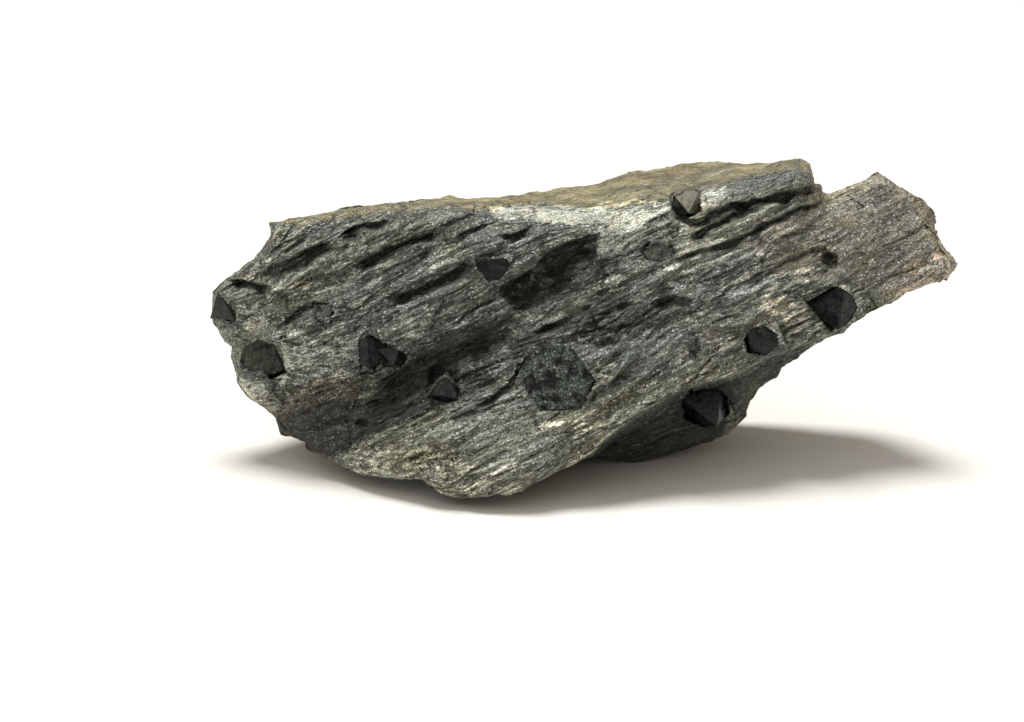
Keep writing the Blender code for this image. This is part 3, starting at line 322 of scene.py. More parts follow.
# ---- windows: where a crystal shows, outlined in (a, b); around it the schist laps over it ---
WINDOWS = [
    ("magnetite_broken_large", [(-7.1, 11.6), (-4.9, 14.4), (-1.7, 14.7), (1.3, 10.6), (-0.3, 7.6),
     (-4.4, 7.5)]),
    ("magnetite_upper_slab", [(-11, 23.2), (-7.9, 23.2), (-7.6, 22.7), (-8.6, 21), (-9.8, 21),
     (-11, 22.4)]),
    ("magnetite_twin_left", [(-23.1, 14.9), (-22.4, 15.7), (-21.3, 15.7), (-20.8, 14.6), (-19.8, 14.3),
     (-18, 13.1), (-18.7, 12.2), (-20.7, 12), (-21.4, 11.5), (-23, 11.3)]),
    ("magnetite_lower_triangle", [(-15.9, 8.9), (-15.7, 9.4), (-14.4, 11), (-12.8, 9.8), (-12.5, 8.9),
     (-14, 8.4)]),
    ("magnetite_left_pit", [(-35.4, 12.6), (-34.9, 14.2), (-33.5, 14.9), (-31.8, 14.3), (-30.9, 12.6),
     (-30.6, 11.5), (-31.2, 10.7), (-32.3, 10.8), (-33, 11.8), (-34.4, 11.7)]),
    ("magnetite_left_end", [(-40, 20.4), (-38, 19.9), (-36.7, 18.7), (-35.8, 17.4), (-36, 15.9),
     (-36.8, 14.9), (-38.5, 14.7), (-40, 15)]),
    ("magnetite_right_octahedron", [(22.7, 19.2), (24.6, 20.4), (26.4, 20.3), (27.8, 19.4), (28.3, 18.2),
     (27.6, 16.9), (26.3, 15.6), (25.7, 15.6)]),
    ("magnetite_right_small", [(16.6, 14.9), (17.2, 15.9), (18.5, 16.4), (20, 15.4), (20.1, 14.3),
     (18.8, 13.3), (17, 13.5)]),
    ("magnetite_top_slab", [(9.1, 28.6), (9.4, 29.7), (10.6, 30.3), (12.4, 30.2), (12.8, 28.6),
     (11.2, 27.5), (9.8, 27.7)]),
    ("magnetite_under_plate", [(9.3, 7.3), (11, 9.7), (13.9, 10), (15.5, 8.2), (15.8, 6.6), (12.5, 5.8)]),
    ("magnetite_left_small", [(-27.9, 18.2), (-26.4, 18.6), (-25.7, 17.6), (-26.9, 16.3), (-27.5, 17)]),
    ("magnetite_grey_lozenge", [(5.9, 23.9), (7.3, 24.8), (9.2, 24.6), (9.6, 23.7), (8.2, 22.9),
     (6.6, 23.1)]),
]
WINDOW_DEPTH = 0.45                 # how far the schist lies back behind a crystal's face
LAP = 0.10                          # how far the schist laps over a crystal round its window
LAP_REACH = 3.0                     # only this near its window does the schist lap over it

# ---- calm and coloured parts of the front --------------------------------------------------
# the flat, iron-stained facet near the thin end
BROWN_FACET = [(33.8, 31), (36.8, 29.6), (37, 26.4), (35.4, 26.3), (34.2, 28.2)]
# calmer parts of the front: outline, softness, share of the splinters' relief that is left
CALM = [
    ([(17, 24), (24.5, 29.6), (30.5, 33), (37, 30), (40, 23), (34, 18.5), (29, 18),
     (21, 21.5)], 3.0, 0.35),
    ([(-25, 0), (-22, 4.5), (-12, 7), (-4.5, 7), (3, 9), (10, 12), (18, 14.5), (21, 13), (10, 8), (0, 1),
     (-12, -3)], 2.0, 0.6),
    ([(11, 30.5), (17, 34), (25, 34.5), (25, 31.5), (17, 29.3), (11.5, 28)], 1.0, 0.4),
    ([(-6.5, 26), (-3, 28), (6, 28.5), (8, 27), (3, 25.6)], 1.5, 0.5),
    (BROWN_FACET, 0.5, 0.0),
]

# the wide patch of fresh mica right of the middle
BLUE_MICA = [(9, 18.6), (10.4, 22.6), (14, 24.6), (17.5, 26.4), (19.2, 25), (21, 21.6), (17, 19.8),
    (12, 17.8)]
# zones of colour by their kind: softness, strength, outline in (a, b)
ZONES = {
    # the old, iron-stained upper surface
    "weathered": [
        (0.5, 1.0, [(-17, 29.2), (-8, 28.9), (-4, 28.9), (0, 28.5), (5, 28.9), (8.5, 29.5), (9.5, 30.2),
         (12, 30.6), (15, 31.2), (19.4, 32.8), (21, 34.5), (8, 35), (0, 33), (-17, 31.5)]),
        (0.6, 0.6, [(-33, 26.5), (-28, 27), (-22, 27.8), (-16, 28.3), (-8, 28.3), (-8, 31), (-24, 30),
         (-33, 28.5)]),
        (0.4, 0.75, [(12, 31.2), (15, 32), (17.5, 32.6), (21, 33.6), (23.6, 33.2), (23.9, 32.3),
         (21, 32.4), (17, 31.7), (13, 30.4)]),
    ],
    # chalky film, feldspar lenses and places where the mica is fresh; the entries marked below are
    # painted light
    "pale": [
        (0.6, 0.75, [(-9.6, 28.5), (-5.4, 28.7), (-5, 27.3), (-7, 27.3), (-9, 27.6)]),
        (0.9, 1.0, [(-5, 28.6), (0, 28.3), (2.4, 28.5), (3, 27.4), (0.6, 26.7), (-2.6, 26.8),
         (-4.6, 27.2)]),
        (1.8, 0.6, [(2, 28.6), (8.6, 29.2), (8.8, 28), (7, 26.4), (5.6, 24.8), (3.6, 24.2), (2.2, 25.4)]),
        (0.3, 0.8, [(7, 28.2), (7.4, 28.8), (9.2, 28.7), (8.8, 28)]),
        (1.0, 0.42, [(-31, 16.4), (-28.4, 16.4), (-27, 13.6), (-30.6, 12.6)]),
        (1.2, 0.22, [(-33, 19), (-28, 20.9), (-24, 22.2), (-20, 23.4), (-18.4, 22.8), (-22, 20.8),
         (-27, 18.9), (-32, 18.2)]),
        (0.8, 0.2, [(-33, 23.6), (-31.8, 26.4), (-28.4, 26.6), (-30.6, 24.4)]),
        (1.0, 0.5, [(0.2, 24.2), (1.4, 26.6), (4, 26.8), (5.4, 25), (3.6, 23.4), (1.6, 23.6)]),
        (0.8, 0.45, [(9.6, 23.6), (10.2, 27.2), (12.4, 27.8), (13.2, 25.2), (12, 23.2)]),
        (0.6, 0.55, [(11.6, 28.2), (11.8, 30.4), (13.6, 30.8), (15.2, 30.4), (13.8, 28.8)]),
        (1.0, 0.3, [(18, 17.6), (19, 21), (24, 21.4), (28.6, 20.4), (28.4, 18.6), (24.6, 20.6),
         (22.4, 19.2), (21.6, 17.2)]),
        # painted light: the lower lip faces down and is lightened as if lit by the bright table below
        (1.5, 0.17, [(-25.6, 0.6), (-25, 3.4), (-21, 4.6), (-15, 3.9), (-10, 1.8), (-7, 0.4), (-8, -2),
         (-14, -2.5), (-22, -0.5)]),
        # pale fringe of the plate's lower edge, partly a painted highlight on the rounded edge
        (0.2, 0.2, [(-1.6, 1.7), (0.8, 3), (2.1, 4.2), (4.9, 6.3), (7.9, 8.2), (9.9, 9.5), (12.9, 10.6),
         (15.4, 11.3), (20, 13.3), (25, 15.4), (24.9, 15.7), (20, 13.7), (15.3, 11.7), (12.8, 11),
         (9.8, 9.9), (7.7, 8.6), (4.7, 6.7), (1.8, 4.5), (0.6, 3.4), (-1.8, 2)]),
        (0.8, 0.15, [(34, 22.4), (34.6, 24), (36.6, 24), (37, 22.6)]),
        (1.0, 0.4, [(-33.5, 18.8), (-32, 21.2), (-28.4, 21.4), (-27.8, 19.6), (-30.5, 19)]),
        (0.8, 0.35, [(-35, 21.2), (-33, 23.6), (-29.6, 23.2), (-31, 21.6)]),
        # painted light: the lower lip faces down and is lightened as if lit by the bright table below
        (0.8, 0.5, [(-24.6, 0.9), (-23, 3.2), (-20.6, 3.4), (-21, 0.8)]),
        (1.0, 0.2, [(-16, 21.4), (-15.6, 25.4), (-13, 26.2), (-12.4, 22.4)]),
        (0.8, 0.2, [(-29, 20.7), (-24, 21.9), (-20.4, 22.2), (-20.6, 19.6), (-25, 20.4)]),
        (0.7, 0.32, [(-31.8, 12.8), (-32, 16.2), (-30, 16.6), (-29.8, 13.2)]),
        (0.8, 0.25, [(-28, 14.8), (-27, 17), (-24.6, 17), (-25, 15)]),
        (0.5, 0.3, [(20.4, 15.4), (20.8, 17.4), (22.4, 17.6), (22.4, 15.6)]),
        (0.6, 0.22, [(24.8, 16.8), (25.2, 20.2), (27.2, 20.2), (26.8, 17.4)]),
        (0.6, 0.22, [(21.8, 18.8), (22.2, 20.6), (24.6, 20.6), (24.2, 18.8)]),
        (0.8, 0.2, [(27.4, 21), (28, 23), (30.4, 23.4), (30.2, 21.4)]),
        (0.6, 0.25, [(34.4, 22.8), (34.8, 24.4), (36.2, 24.4), (36.2, 22.8)]),
        (0.5, 0.22, [(10.4, 9.9), (10.8, 11.8), (12.6, 11.9), (12.6, 10.5)]),
        (0.8, 0.2, [(-24.4, 17.4), (-23.8, 19.6), (-21.8, 19.6), (-22, 17.4)]),
        (0.7, 0.2, [(-31, 18.6), (-30.6, 20.2), (-28.8, 20.2), (-29, 18.6)]),
        (0.5, 0.25, [(-31, 22), (-30.4, 23.2), (-28.6, 23.6), (-28.8, 22.4)]),
        (0.4, 0.2, [(-7.6, 19.2), (-7.2, 20.6), (-3.4, 23.4), (-2.6, 23), (-5.6, 20)]),
        (0.8, 0.25, [(-35.8, 16.8), (-35.6, 19.4), (-33.4, 19.2), (-33.8, 17)]),
        (0.8, 0.25, [(-1.4, 4.6), (-0.6, 6.6), (1.4, 7.2), (2.2, 6.2), (0.6, 4.4)]),
        (0.8, 0.2, [(2.4, 18), (3.2, 20), (8.2, 20.4), (7.6, 18.8)]),
        (0.8, 0.18, [(-2, 18), (-1, 20), (1.6, 20.2), (1, 18.4)]),
        (0.8, 0.2, [(-8, 23.2), (-7.6, 25.2), (-6, 25.4), (-6, 23.6)]),
        # painted light: the lower lip faces down and is lightened as if lit by the bright table below
        (1.0, 0.25, [(-16, -1), (-15, 1.4), (-8, 2.6), (-5, 1.8), (-6, -1.2)]),
        (0.8, 0.3, [(-19.4, 15), (-18.6, 17), (-15.6, 17.2), (-16.4, 15.2)]),
        (0.6, 0.3, [(-4, 16.6), (-1, 18.8), (2, 19.6), (1, 18.2), (-2, 16.8)]),
        (0.7, 0.3, [(0.4, 10.6), (1.6, 12.6), (4, 12.4), (2.6, 10.4)]),
        (1.0, 0.3, [(18, 25.2), (18.4, 27.2), (22, 28.4), (22.4, 27), (20.6, 25.4)]),
        (0.8, 0.3, [(3.6, 25.4), (5, 27.6), (9, 27.4), (8.4, 25.6)]),
        (0.6, 0.35, [(24, 20.6), (27.6, 20.8), (29.2, 18.6), (28.6, 17.6)]),
        (2.4, 0.32, BLUE_MICA),
        (0.8, 0.3, [(11.2, 25.8), (15, 27.3), (18.2, 28.7), (21.6, 30), (21, 28.8), (17, 27),
         (13, 25.4)]),
        (0.5, 0.7, [(-31.4, 14.4), (-30.9, 12.6), (-31.9, 10.4), (-30.9, 10), (-30, 12.4),
         (-30.6, 14.6)]),
        (0.3, 0.5, [(9, 29.4), (11.3, 30.2), (13, 28.9), (11.4, 27.8)]),
        (0.25, 0.8, [(-4.9, 5.8), (-4, 6.4), (-2.2, 6.4), (-2.4, 5.9)]),
        (0.25, 0.8, [(-1.2, 6.4), (0.4, 7.6), (1.6, 8.2), (1.3, 7.4), (-0.4, 6.4)]),
        (0.25, 0.9, [(8.3, 22.1), (9, 22.8), (10.3, 22.9), (9.6, 22.2)]),
        (0.25, 0.7, [(2.1, 20.7), (2.6, 21.4), (3.9, 21.5), (3.3, 20.9)]),
        (0.2, 0.8, [(-0.9, 18.6), (-0.4, 19.2), (0.1, 18.9), (-0.3, 18.5)]),
        (0.5, 0.5, [(-35.5, 16), (-34.8, 17.2), (-32.4, 17.1), (-32.8, 15.9)]),
        (0.6, 0.6, [(-36.5, 9), (-35.2, 11), (-33, 10.2), (-31, 8), (-32.5, 7)]),
        (1.5, 0.3, [(-32, 14.5), (-24, 15), (-23.6, 11), (-29, 9.8), (-31.8, 11.4)]),
        (0.6, 0.5, [(21.6, 17.6), (22.6, 18.4), (24.6, 16.6), (23.6, 15.4), (22, 16.2)]),
        (0.2, 0.8, [(11.9, 23.9), (13, 24.9), (14.6, 25.5), (14.2, 25), (12.6, 24)]),
        (0.2, 0.7, [(21.2, 21.5), (22.4, 22.2), (24, 22.5), (23, 21.8)]),
    ],
    # fresh, blue-grey mica
    "slate": [
        (1.8, 1.0, [(-13.5, 9), (-8.5, 10.5), (-5.6, 7.4), (-3, 7), (-1, 5), (-4, 1.4), (-10.5, 1.2),
         (-14, 4.5)]),
        (1.4, 1.0, BLUE_MICA),
        (1.8, 0.6, [(2.6, 12.6), (5, 15.6), (9.6, 17), (12.5, 15.4), (11, 11.6), (6.5, 10.8)]),
        (1.0, 0.6, [(-8.2, 21.5), (-6.8, 24.4), (-5, 25.6), (-9.8, 25.8), (-14, 25.4), (-11.4, 23.6),
         (-9, 23.6)]),
    ],
    # yellowish mica of the lower lip, the hollow and the plate's edge
    "olive": [
        (0.4, 1.0, [(19.4, 17.8), (20, 19.6), (21.6, 19.6), (21.4, 18)]),
        (1.2, 0.85, [(-26, 0), (-25, 3.6), (-22.6, 5.8), (-16.5, 7.4), (-6.2, 7.2), (0, 8), (8, 10.8),
         (18, 13.8), (17, 11.6), (8, 6.5), (0, 1), (-12, -3)]),
        (0.5, 1.0, [(14.8, 10.6), (18.5, 12.4), (24, 14.8), (23, 13), (17.2, 8), (16.1, 6), (14.9, 6.6),
         (15.6, 9)]),
        (0.6, 0.8, [(-37.5, 15.4), (-33.4, 16.6), (-32, 15.2), (-34, 14.4), (-36.6, 12.6)]),
        (1.0, 0.6, [(-8, 18.4), (-5.4, 21.4), (-1, 24.8), (0.6, 24), (-4, 18.8)]),
        (0.6, 0.8, [(-15, 23.3), (-14.2, 24.6), (-12.4, 24.6), (-12.8, 23.4)]),
        (0.7, 0.7, [(26, 26.3), (26.4, 27.8), (28.4, 27.6), (28.4, 26.4)]),
        (0.4, 0.8, [(36.1, 26.6), (38.9, 22.8), (37.6, 22.6), (35.2, 25.6)]),
    ],
    # iron stain
    "brown": [
        (0.3, 1.0, [(22.6, 30.8), (24.2, 31.8), (25.4, 30.2), (24.6, 29), (22.8, 29.4)]),
        (1.4, 0.8, [(-33, 9.6), (-24, 11.2), (-16.5, 8.4), (-22, 5.4), (-27, 1.6), (-33, 4)]),
        (0.4, 1.0, BROWN_FACET),
    ],
    # the warm, dull mica of the thin end
    "dusty": [
        (2.5, 0.9, [(19, 27.5), (24, 29.5), (30.5, 33), (34.5, 31), (38, 25), (39, 23), (33, 19.5),
         (28, 20.5), (21, 22), (17, 24.5)]),
        (2.0, 0.45, [(7, 15.5), (15, 18.5), (20, 20), (24, 17), (16, 13.5), (8, 11.5)]),
    ],
    # pinkish feldspar at the tip
    "rose": [
        (1.6, 0.7, [(31, 18.6), (33.4, 22.4), (36.4, 24), (38.9, 23.2), (39.5, 22), (37.4, 20)]),
    ],
    # painted shade: hollows, shaded bands and the lump that lies in the plate's shadow behind it
    "dark": [
        (1.2, 0.8, [(-33, 7.2), (-27, 8.8), (-23.3, 8.8), (-20, 10), (-21, 5.4), (-25.8, 2.6), (-30, 3),
         (-33, 5.5)]),
        (0.9, 0.95, [(-23, 7.6), (-20, 11.2), (-16.5, 13.9), (-12, 16.8), (-7.5, 17.9), (-5.8, 17),
         (-8.8, 15.2), (-12.6, 13.2), (-12.6, 8.4), (-15.8, 7.6), (-20.5, 5.4), (-23.5, 4.4)]),
        (0.8, 0.75, [(-13.4, 6.2), (-12.4, 11.6), (-9.6, 11.6), (-8, 10.4), (-9, 8), (-11.2, 6.4)]),
        (0.8, 0.75, [(-14, 12.2), (-13, 14), (-10.6, 14.2), (-10.6, 12.4)]),
        (0.5, 0.7, [(-7.8, 11.4), (-7.4, 14.6), (-5.6, 16.8), (-3.6, 15.4), (-5.2, 14.2), (-6.9, 11.4)]),
        (0.8, 1.0, [(-19.6, 8.8), (-17.6, 10.8), (-14.6, 11.8), (-14.4, 9.6), (-17, 8.2)]),
        (0.8, 0.5, [(-25, 9.4), (-23.6, 11.8), (-21, 12), (-20.4, 10.4), (-22.4, 9)]),
        (0.6, 0.75, [(-33.6, 6.6), (-32.6, 9.4), (-30.6, 9.2), (-30.6, 6.4)]),
        (0.6, 0.4, [(-20.8, 26.8), (-20, 28.2), (-17, 28.4), (-17, 27.3)]),
        (0.7, 0.4, [(-10.6, 24.4), (-10, 26.2), (-8.4, 26.2), (-8.4, 24.6)]),
        (0.4, 0.45, [(14.4, 23.8), (15.2, 24.9), (18.8, 25.8), (18.6, 24.6)]),
        (0.5, 0.35, [(21.4, 28.8), (21.6, 30.6), (23.4, 30.8), (23.2, 29)]),
        (0.7, 0.45, [(-27.4, 19), (-26.4, 21), (-24.4, 21), (-24.8, 19.2)]),
        (0.6, 0.3, [(6.4, 8.4), (8.2, 9.8), (9.6, 10.2), (9.8, 9.8), (8.4, 8.8), (6.8, 7.8)]),
        (0.6, 0.6, [(-11.4, 20), (-10.6, 21.4), (-7.4, 22.6), (-7, 20.8), (-9, 19.8)]),
        (0.8, 0.5, [(0.4, 22), (1.2, 24), (4.2, 24.4), (3.8, 22.2)]),
        (0.4, 0.6, [(18.8, 12.6), (19.4, 14.2), (21.2, 14.7), (22, 13.9), (20, 12.4)]),
        (1.0, 0.42, [(29, 25), (29.4, 27.8), (31.4, 27.8), (31.4, 25)]),
        (0.5, 0.4, [(-4, 6.4), (-3.4, 7.6), (-0.8, 7.8), (-1.4, 6.6)]),
        (0.4, 0.5, [(13.4, 26.8), (14.6, 28), (18.6, 29.2), (19, 28.4), (15.6, 27.2)]),
        (0.6, 0.6, [(23.4, 22.2), (23.6, 24), (25.6, 24.2), (26.2, 22.6), (25, 21.8)]),
        (0.4, 0.38, BROWN_FACET),
        (0.6, 0.6, [(-6.6, 18.2), (-3.5, 20.9), (-2, 20.7), (-3.2, 18.2), (-5, 17)]),
        (0.6, 0.5, [(4.4, 20.2), (5.2, 22.2), (7, 22), (6.8, 20)]),
        (0.8, 0.5, [(4, 16.4), (6, 18.7), (11.5, 19.4), (11.5, 17.6), (8, 15.8)]),
        (0.7, 0.55, [(-29.6, 3.4), (-28.4, 6.4), (-25.4, 6.8), (-24.6, 3.4), (-26.5, 2)]),
        (0.9, 0.55, [(-8.6, 17.2), (-6.2, 21), (-1, 25.4), (2.6, 26.2), (0.8, 22.4), (-4, 18.4)]),
        (0.3, 1.0, [(1, -1), (-0.8, 1.8), (0.9, 3.1), (2.2, 4.5), (5, 6.7), (8, 8.6), (10, 9.7),
         (13, 10.5), (15, 10.9), (15.7, 9.4), (14.9, 7), (14.4, 4.8), (14, 2)]),
        (0.4, 0.72, [(15.4, 11), (20, 13.2), (22.5, 14.2), (23, 13), (17, 6), (15, 8)]),
        (1.0, 0.8, [(-7.5, 14), (-6.5, 15.8), (-2.5, 17.3), (2, 19.4), (9, 20.4), (10.2, 18.8), (5, 16.6),
         (1.5, 14.6), (-1, 15.4), (-5, 15)]),
        (1.5, 0.2, [(-21, 17), (-16, 19), (-10, 19.6), (-9, 18), (-16, 15.6)]),
    ],
}

# ---- looks of the crystals ------------------------------------------------------------------
# finish: how granular it is, and the colour of the film that may lie on a face
FINISHES = (
    ("magnetite_octahedral_face", 0.10, "olive"),
    ("magnetite_filmed_face", 0.15, "chalky"),
    ("magnetite_granular_break", 1.0, "olive"),
    ("magnetite_dusty_face", 0.75, "chalky"),
)
PLAIN_LOOK = ("magnetite_octahedral_face", 0.0, 0.0, (0.0, 0.0, 1.0))
# crystal: finish, extra roughness of its shape, strength of the film, direction that it faces
LOOKS = {
    "magnetite_broken_large": ("magnetite_granular_break", 3.0, 0.0, (0.0, 0.0, 1.0)),
    "magnetite_grey_lozenge": ("magnetite_dusty_face", 1.5, 0.10, (0.0, 0.0, 1.0)),
    "magnetite_left_small": ("magnetite_dusty_face", 1.0, 0.08, (0.0, 0.0, 1.0)),
    "magnetite_top_slab": ("magnetite_filmed_face", 0.5, 0.45, (0.6, 0.1, 0.8)),
    "magnetite_left_end": ("magnetite_octahedral_face", 0.5, 0.4, (0.0, 0.0, 1.0)),
    "magnetite_left_pit": ("magnetite_granular_break", 2.0, 0.6, (0.3, 0.5, 0.8)),
}

# ---- colours of the schist: kind, how fully it covers, how far it hides the streaks, its hue --
SHARES = (
    ("dusty", 0.75, 0.2, "dusty"), ("brown", 0.8, 0.0, "brown"), ("olive", 0.6, 0.1, "olive"),
    ("slate", 0.9, 0.15, "slate"), ("dark", 1.0, 0.0, "shadow"),
    ("weathered", 0.95, 0.45, "ochre"), ("pale", 0.95, 0.45, "pale"),
    ("rose", 0.75, 0.35, "rose"),
)
KINDS = tuple(row[0] for row in SHARES)
TURN_WIDTH = 0.3                    # the front's colours end where the stone turns away: how
TURN_START = 0.7                    # softly, and the share that is left on a face seen edge-on
PIT_SHADE = 0.7                     # share of a pit's depth that paints shade into it as into a slot
SLOT_SHADE = 0.9                    # strength of the painted shade in the deepest slots
LIP_HIGHLIGHT = 0.7                     # strength of the yellowish painted highlight on the ledges' lips, and of the yellow on the rim
RIM_YELLOW = 0.8
SKIN_SHARE = (0.55, 0.45, 1.5)      # weathering of the back: on its walls, more of it on top
BACK_STAIN = 0.6                    # iron stain of the back

# ---- noises of the schist: length, width, thickness across the foliation, detail, roughness ----
# Real chlorite scales are about 0.05 mm wide. The speckle and the grains are drawn two to
# three times as coarse, as they need to be to show.
SCHIST_NOISES = {
    "bands": ((18.0, 3.0, 1.1), 5.0, 0.6),
    "patches": ((13.0, 4.0, 2.5), 4.0, 0.55),
    "threads": ((7.0, 0.55, 0.30), 4.0, 0.6),
    "seams": ((5.0, 1.2, 0.7), 3.0, 0.55),
    "tongues": ((4.5, 0.9, 0.4), 4.0, 0.7),
    "blotches": ((4.5, 2.4, 2.0), 5.0, 0.75),
    "dashes": ((1.8, 0.26, 0.18), 2.0, 0.6),
    "speckle": ((0.17, 0.12, 0.12), 1.0, 0.5),
}
GRAINS_PER_MM = (5.0, 7.0, 7.5)     # single scales that lean and glitter
SWELL_SIZE = 11.0                   # the foliation is gently folded: spacing and reach
SWELL_REACH = 2.2
# coats over the dark ground: noise, where the coat begins and is full, its share, its colour
SCHIST_COATS = (
    ("bands", 0.34, 0.64, 1.0, "mid"), ("patches", 0.52, 0.66, 0.5, "blue"),
    ("patches", 0.48, 0.34, 0.3, "olive"), ("threads", 0.46, 0.30, 0.8, "shadow"),
)
MICA_COATS = (("threads", 0.54, 0.70, 0.7, "light"), ("dashes", 0.58, 0.72, 0.4, "light"))
RELIEF = (("threads", 1.0), ("dashes", 0.6), ("speckle", 0.25))
BUMP_DEPTH = 0.28

# ---- table top ----------------------------------------------------------------------------
FLOOR_REACH = 3000.0                # half the side of the table top
FLOOR_LINES = 5                     # grid lines on it each way
FLOOR_GAP = 0.01                    # it lies this far under the stone
BOARD_CLOUDS_PER_MM = 0.06

# ---- camera -------------------------------------------------------------------------------
SENSOR_WIDTH = 36.0
IMAGE_WIDTH = 1024.0                # pixels
FOCUS = 1133.86                     # focal length in pixels
CLIP_START = 1.0                    # the camera sees everything farther away than this

# ---- lights: angle that they seem to fill, in degrees, and direction to the stone -------------
KEY_LIGHT = (24.0, (0.09, -0.10, -1.0))
SECOND_LIGHT = (60.0, (0.22, 0.65, -0.72))

# ---- patterns of the magnetite, so many to a millimetre -----------------------------------
CLOUDS_PER_MM = 1.1
GRIT_PER_MM = 6.5
CRYSTAL_GRAINS_PER_MM = 7.0

# ---- settings that nodes share ------------------------------------------------------------
PLUS = {"operation": "ADD"}
LESS = {"operation": "SUBTRACT"}
TIMES = {"operation": "MULTIPLY"}
EASED = {"interpolation_type": "SMOOTHSTEP"}
COAT = {"data_type": "RGBA"}
TINT = {"data_type": "RGBA", "blend_type": "MULTIPLY"}


# ---- settings -----------------------------------------------------------------------------

def linear(code):
    """Linear colour of an sRGB hex value such as #3c403a."""
    channels = [int(code[k:k + 2], 16) / 255.0 for k in (1, 3, 5)]
    return tuple(c / 12.92 if c <= 0.04045 else ((c + 0.055) / 1.055) ** 2.4 for c in channels)


def colour(name, code, description):
    """Setting that holds a colour, given as its sRGB hex value."""
    return bpy.props.FloatVectorProperty(
        name=name, description=description, default=linear(code), size=3, min=0.0, max=1.0,
        subtype="COLOR")


def length(name, value, description):
    """Setting that holds a length, given in millimetres."""
    return bpy.props.FloatProperty(
        name=name, description=description, default=value * MM, min=0.0, precision=6,
        unit="LENGTH")


def count(name, value, description):
    """Setting that holds a whole number."""
    return bpy.props.IntProperty(name=name, description=description, default=value, min=3)


def light(name, value, description):
    """Setting that holds a light's strength."""
    return bpy.props.FloatProperty(name=name, description=description, default=value, min=0.0)


class StoneSettings(bpy.types.PropertyGroup):
    """Fineness, flakes and colours of the schist"""
    columns: count("Columns", 560, "Grid lines along the stone")
    rows: count("Rows", 230, "Grid lines up the stone")
    triangles: count("Triangles", 190000, "Triangles kept after thinning")
    flakes: count("Flakes", 19000, "Loose mica flakes on the front, and as many on the back")
    flake: length("Flake size", 0.12, "Half the mean width of a mica flake")
    ridge: length("Ridge height", 0.13, "Height of the fine ridges along the foliation")
    dark: colour("Dark chlorite", "#37392f", "The schist's darkest layers")
    mid: colour("Chlorite", "#5c635b", "The schist's common grey-green")
    light: colour("Mica", "#a3a99f", "Pale mica streaks")
    # painted glint: the colour of single scales painted bright as if they caught the light
    painted_sparkle: colour("Sparkle", "#cfcfc3", "Single mica flakes that catch the light")
    blue: colour("Blue-grey chlorite", "#5c6462", "Smooth cleavage faces")
    slate: colour("Slaty mica", "#707978", "Fresh, glittering blue-grey mica")
    ochre: colour("Weathered skin", "#7a7352", "Iron-stained skin of the old upper surface")
    pale: colour("Pale film", "#d7ddcf", "Chalky mineral film and feldspar lenses")
    dusty: colour("Dusty mica", "#878475", "Warm grey-beige mica of the thin end")
    rose: colour("Rose feldspar", "#8f8c83", "Pinkish feldspar at the tip")
    olive: colour("Olive mica", "#7f8167", "Yellowish mica along the lower lip")
    brown: colour("Iron stain", "#635e45", "Brown stain")
    # painted shade: the colour of the shaded hollows, slots, fine cracks and the lump behind the plate;
    # it also draws the dark threads of the foliation
    shadow: colour("Dark band", "#15180f", "Nearly black, rough layers")


class CrystalSettings(bpy.types.PropertyGroup):
    """Fineness, growth steps and colours of the crystals"""
    around: count("Around", 120, "Grid lines round a crystal")
    upward: count("Upward", 72, "Grid lines from pole to pole")
    step: length("Growth step", 0.035, "Height of the growth steps on a face")
    black: colour("Magnetite", "#090b0a", "Iron-black faces")
    dull: colour("Dull magnetite", "#131715", "Faces under a breath of dust")
    grit: colour("Magnetite grit", "#5d6761", "Grains of a broken or etched face")
    # painted glint: the colour of the few grains painted bright as if they caught the light
    painted_glint: colour("Glint", "#a3a8a2", "The few grains that catch the light")
    olive: colour("Olive film", "#3d3e31", "Chlorite dust on a face")
    chalky: colour("Chalky film", "#a9a896", "Pale mineral film on a face")


class StageSettings(bpy.types.PropertyGroup):
    """Colours of the table top and its surroundings, and strengths of the lights"""
    floor: colour("Floor", "#dad9d5", "Pale, matt table top")
    tooth: colour("Floor's tooth", "#ebeae6", "Paler clouds in the table top")
    sky: colour("Surroundings", "#ffeed8", "Warm tint of the dimmer surroundings")
    key: light("Key light", 3.6, "Soft light from above, a little from behind")
    fill: light("Second light", 0.8, "Softer light over the viewer's shoulder")


def held(values):
    """The values, held between 0 and 1."""
    return np.clip(values, 0.0, 1.0)


def unit(vectors):
    """The vectors, each divided by its own length."""
    return vectors / np.maximum(np.linalg.norm(vectors, axis=-1, keepdims=True), 1e-9)


# ---- geometry of the base plane ---------------------------------------------------------------

def fan_direction(a, b):
    """Vector from the apex to (a, b): RIGHT times a plus UP times b plus BACK, from its foot."""
    across = np.multiply.outer(a + PLANE_ORIGIN[0], RIGHT)
    upward = np.multiply.outer(b + PLANE_ORIGIN[1], UP)
    return across + upward + FAN_LENGTH * BACK


def place(a, b, h):
    """Point in space: apex plus the fan direction times one minus h over the fan's length."""
    scale = 1.0 - np.asarray(h) / FAN_LENGTH
    return APEX + fan_direction(a, b) * scale[..., None]


def to_plane(points):
    """The inverse of place: (a, b, h) of points in space."""
    from_apex = points - APEX
    scale = from_apex @ BACK / FAN_LENGTH
    a = from_apex @ RIGHT / scale - PLANE_ORIGIN[0]
    b = from_apex @ UP / scale - PLANE_ORIGIN[1]
    return a, b, FAN_LENGTH * (1.0 - scale)


def along(line, fraction):
    """Points at the given fractions of a polyline's length."""
    points = np.array(line)
    lengths = np.hypot(*np.diff(points, axis=0).T)
    reach = np.concatenate(([0.0], np.cumsum(lengths))) / lengths.sum()
    return np.stack([np.interp(fraction, reach, points[:, k]) for k in (0, 1)], axis=-1)


def crowd(number):
    """Grid fractions from 0 to 1, mixed from even ones and half a cosine wave."""
    even = np.linspace(0.0, 1.0, number)
    return (1.0 - RIM_CROWDING) * even + RIM_CROWDING * (0.5 - 0.5 * np.cos(np.pi * even))


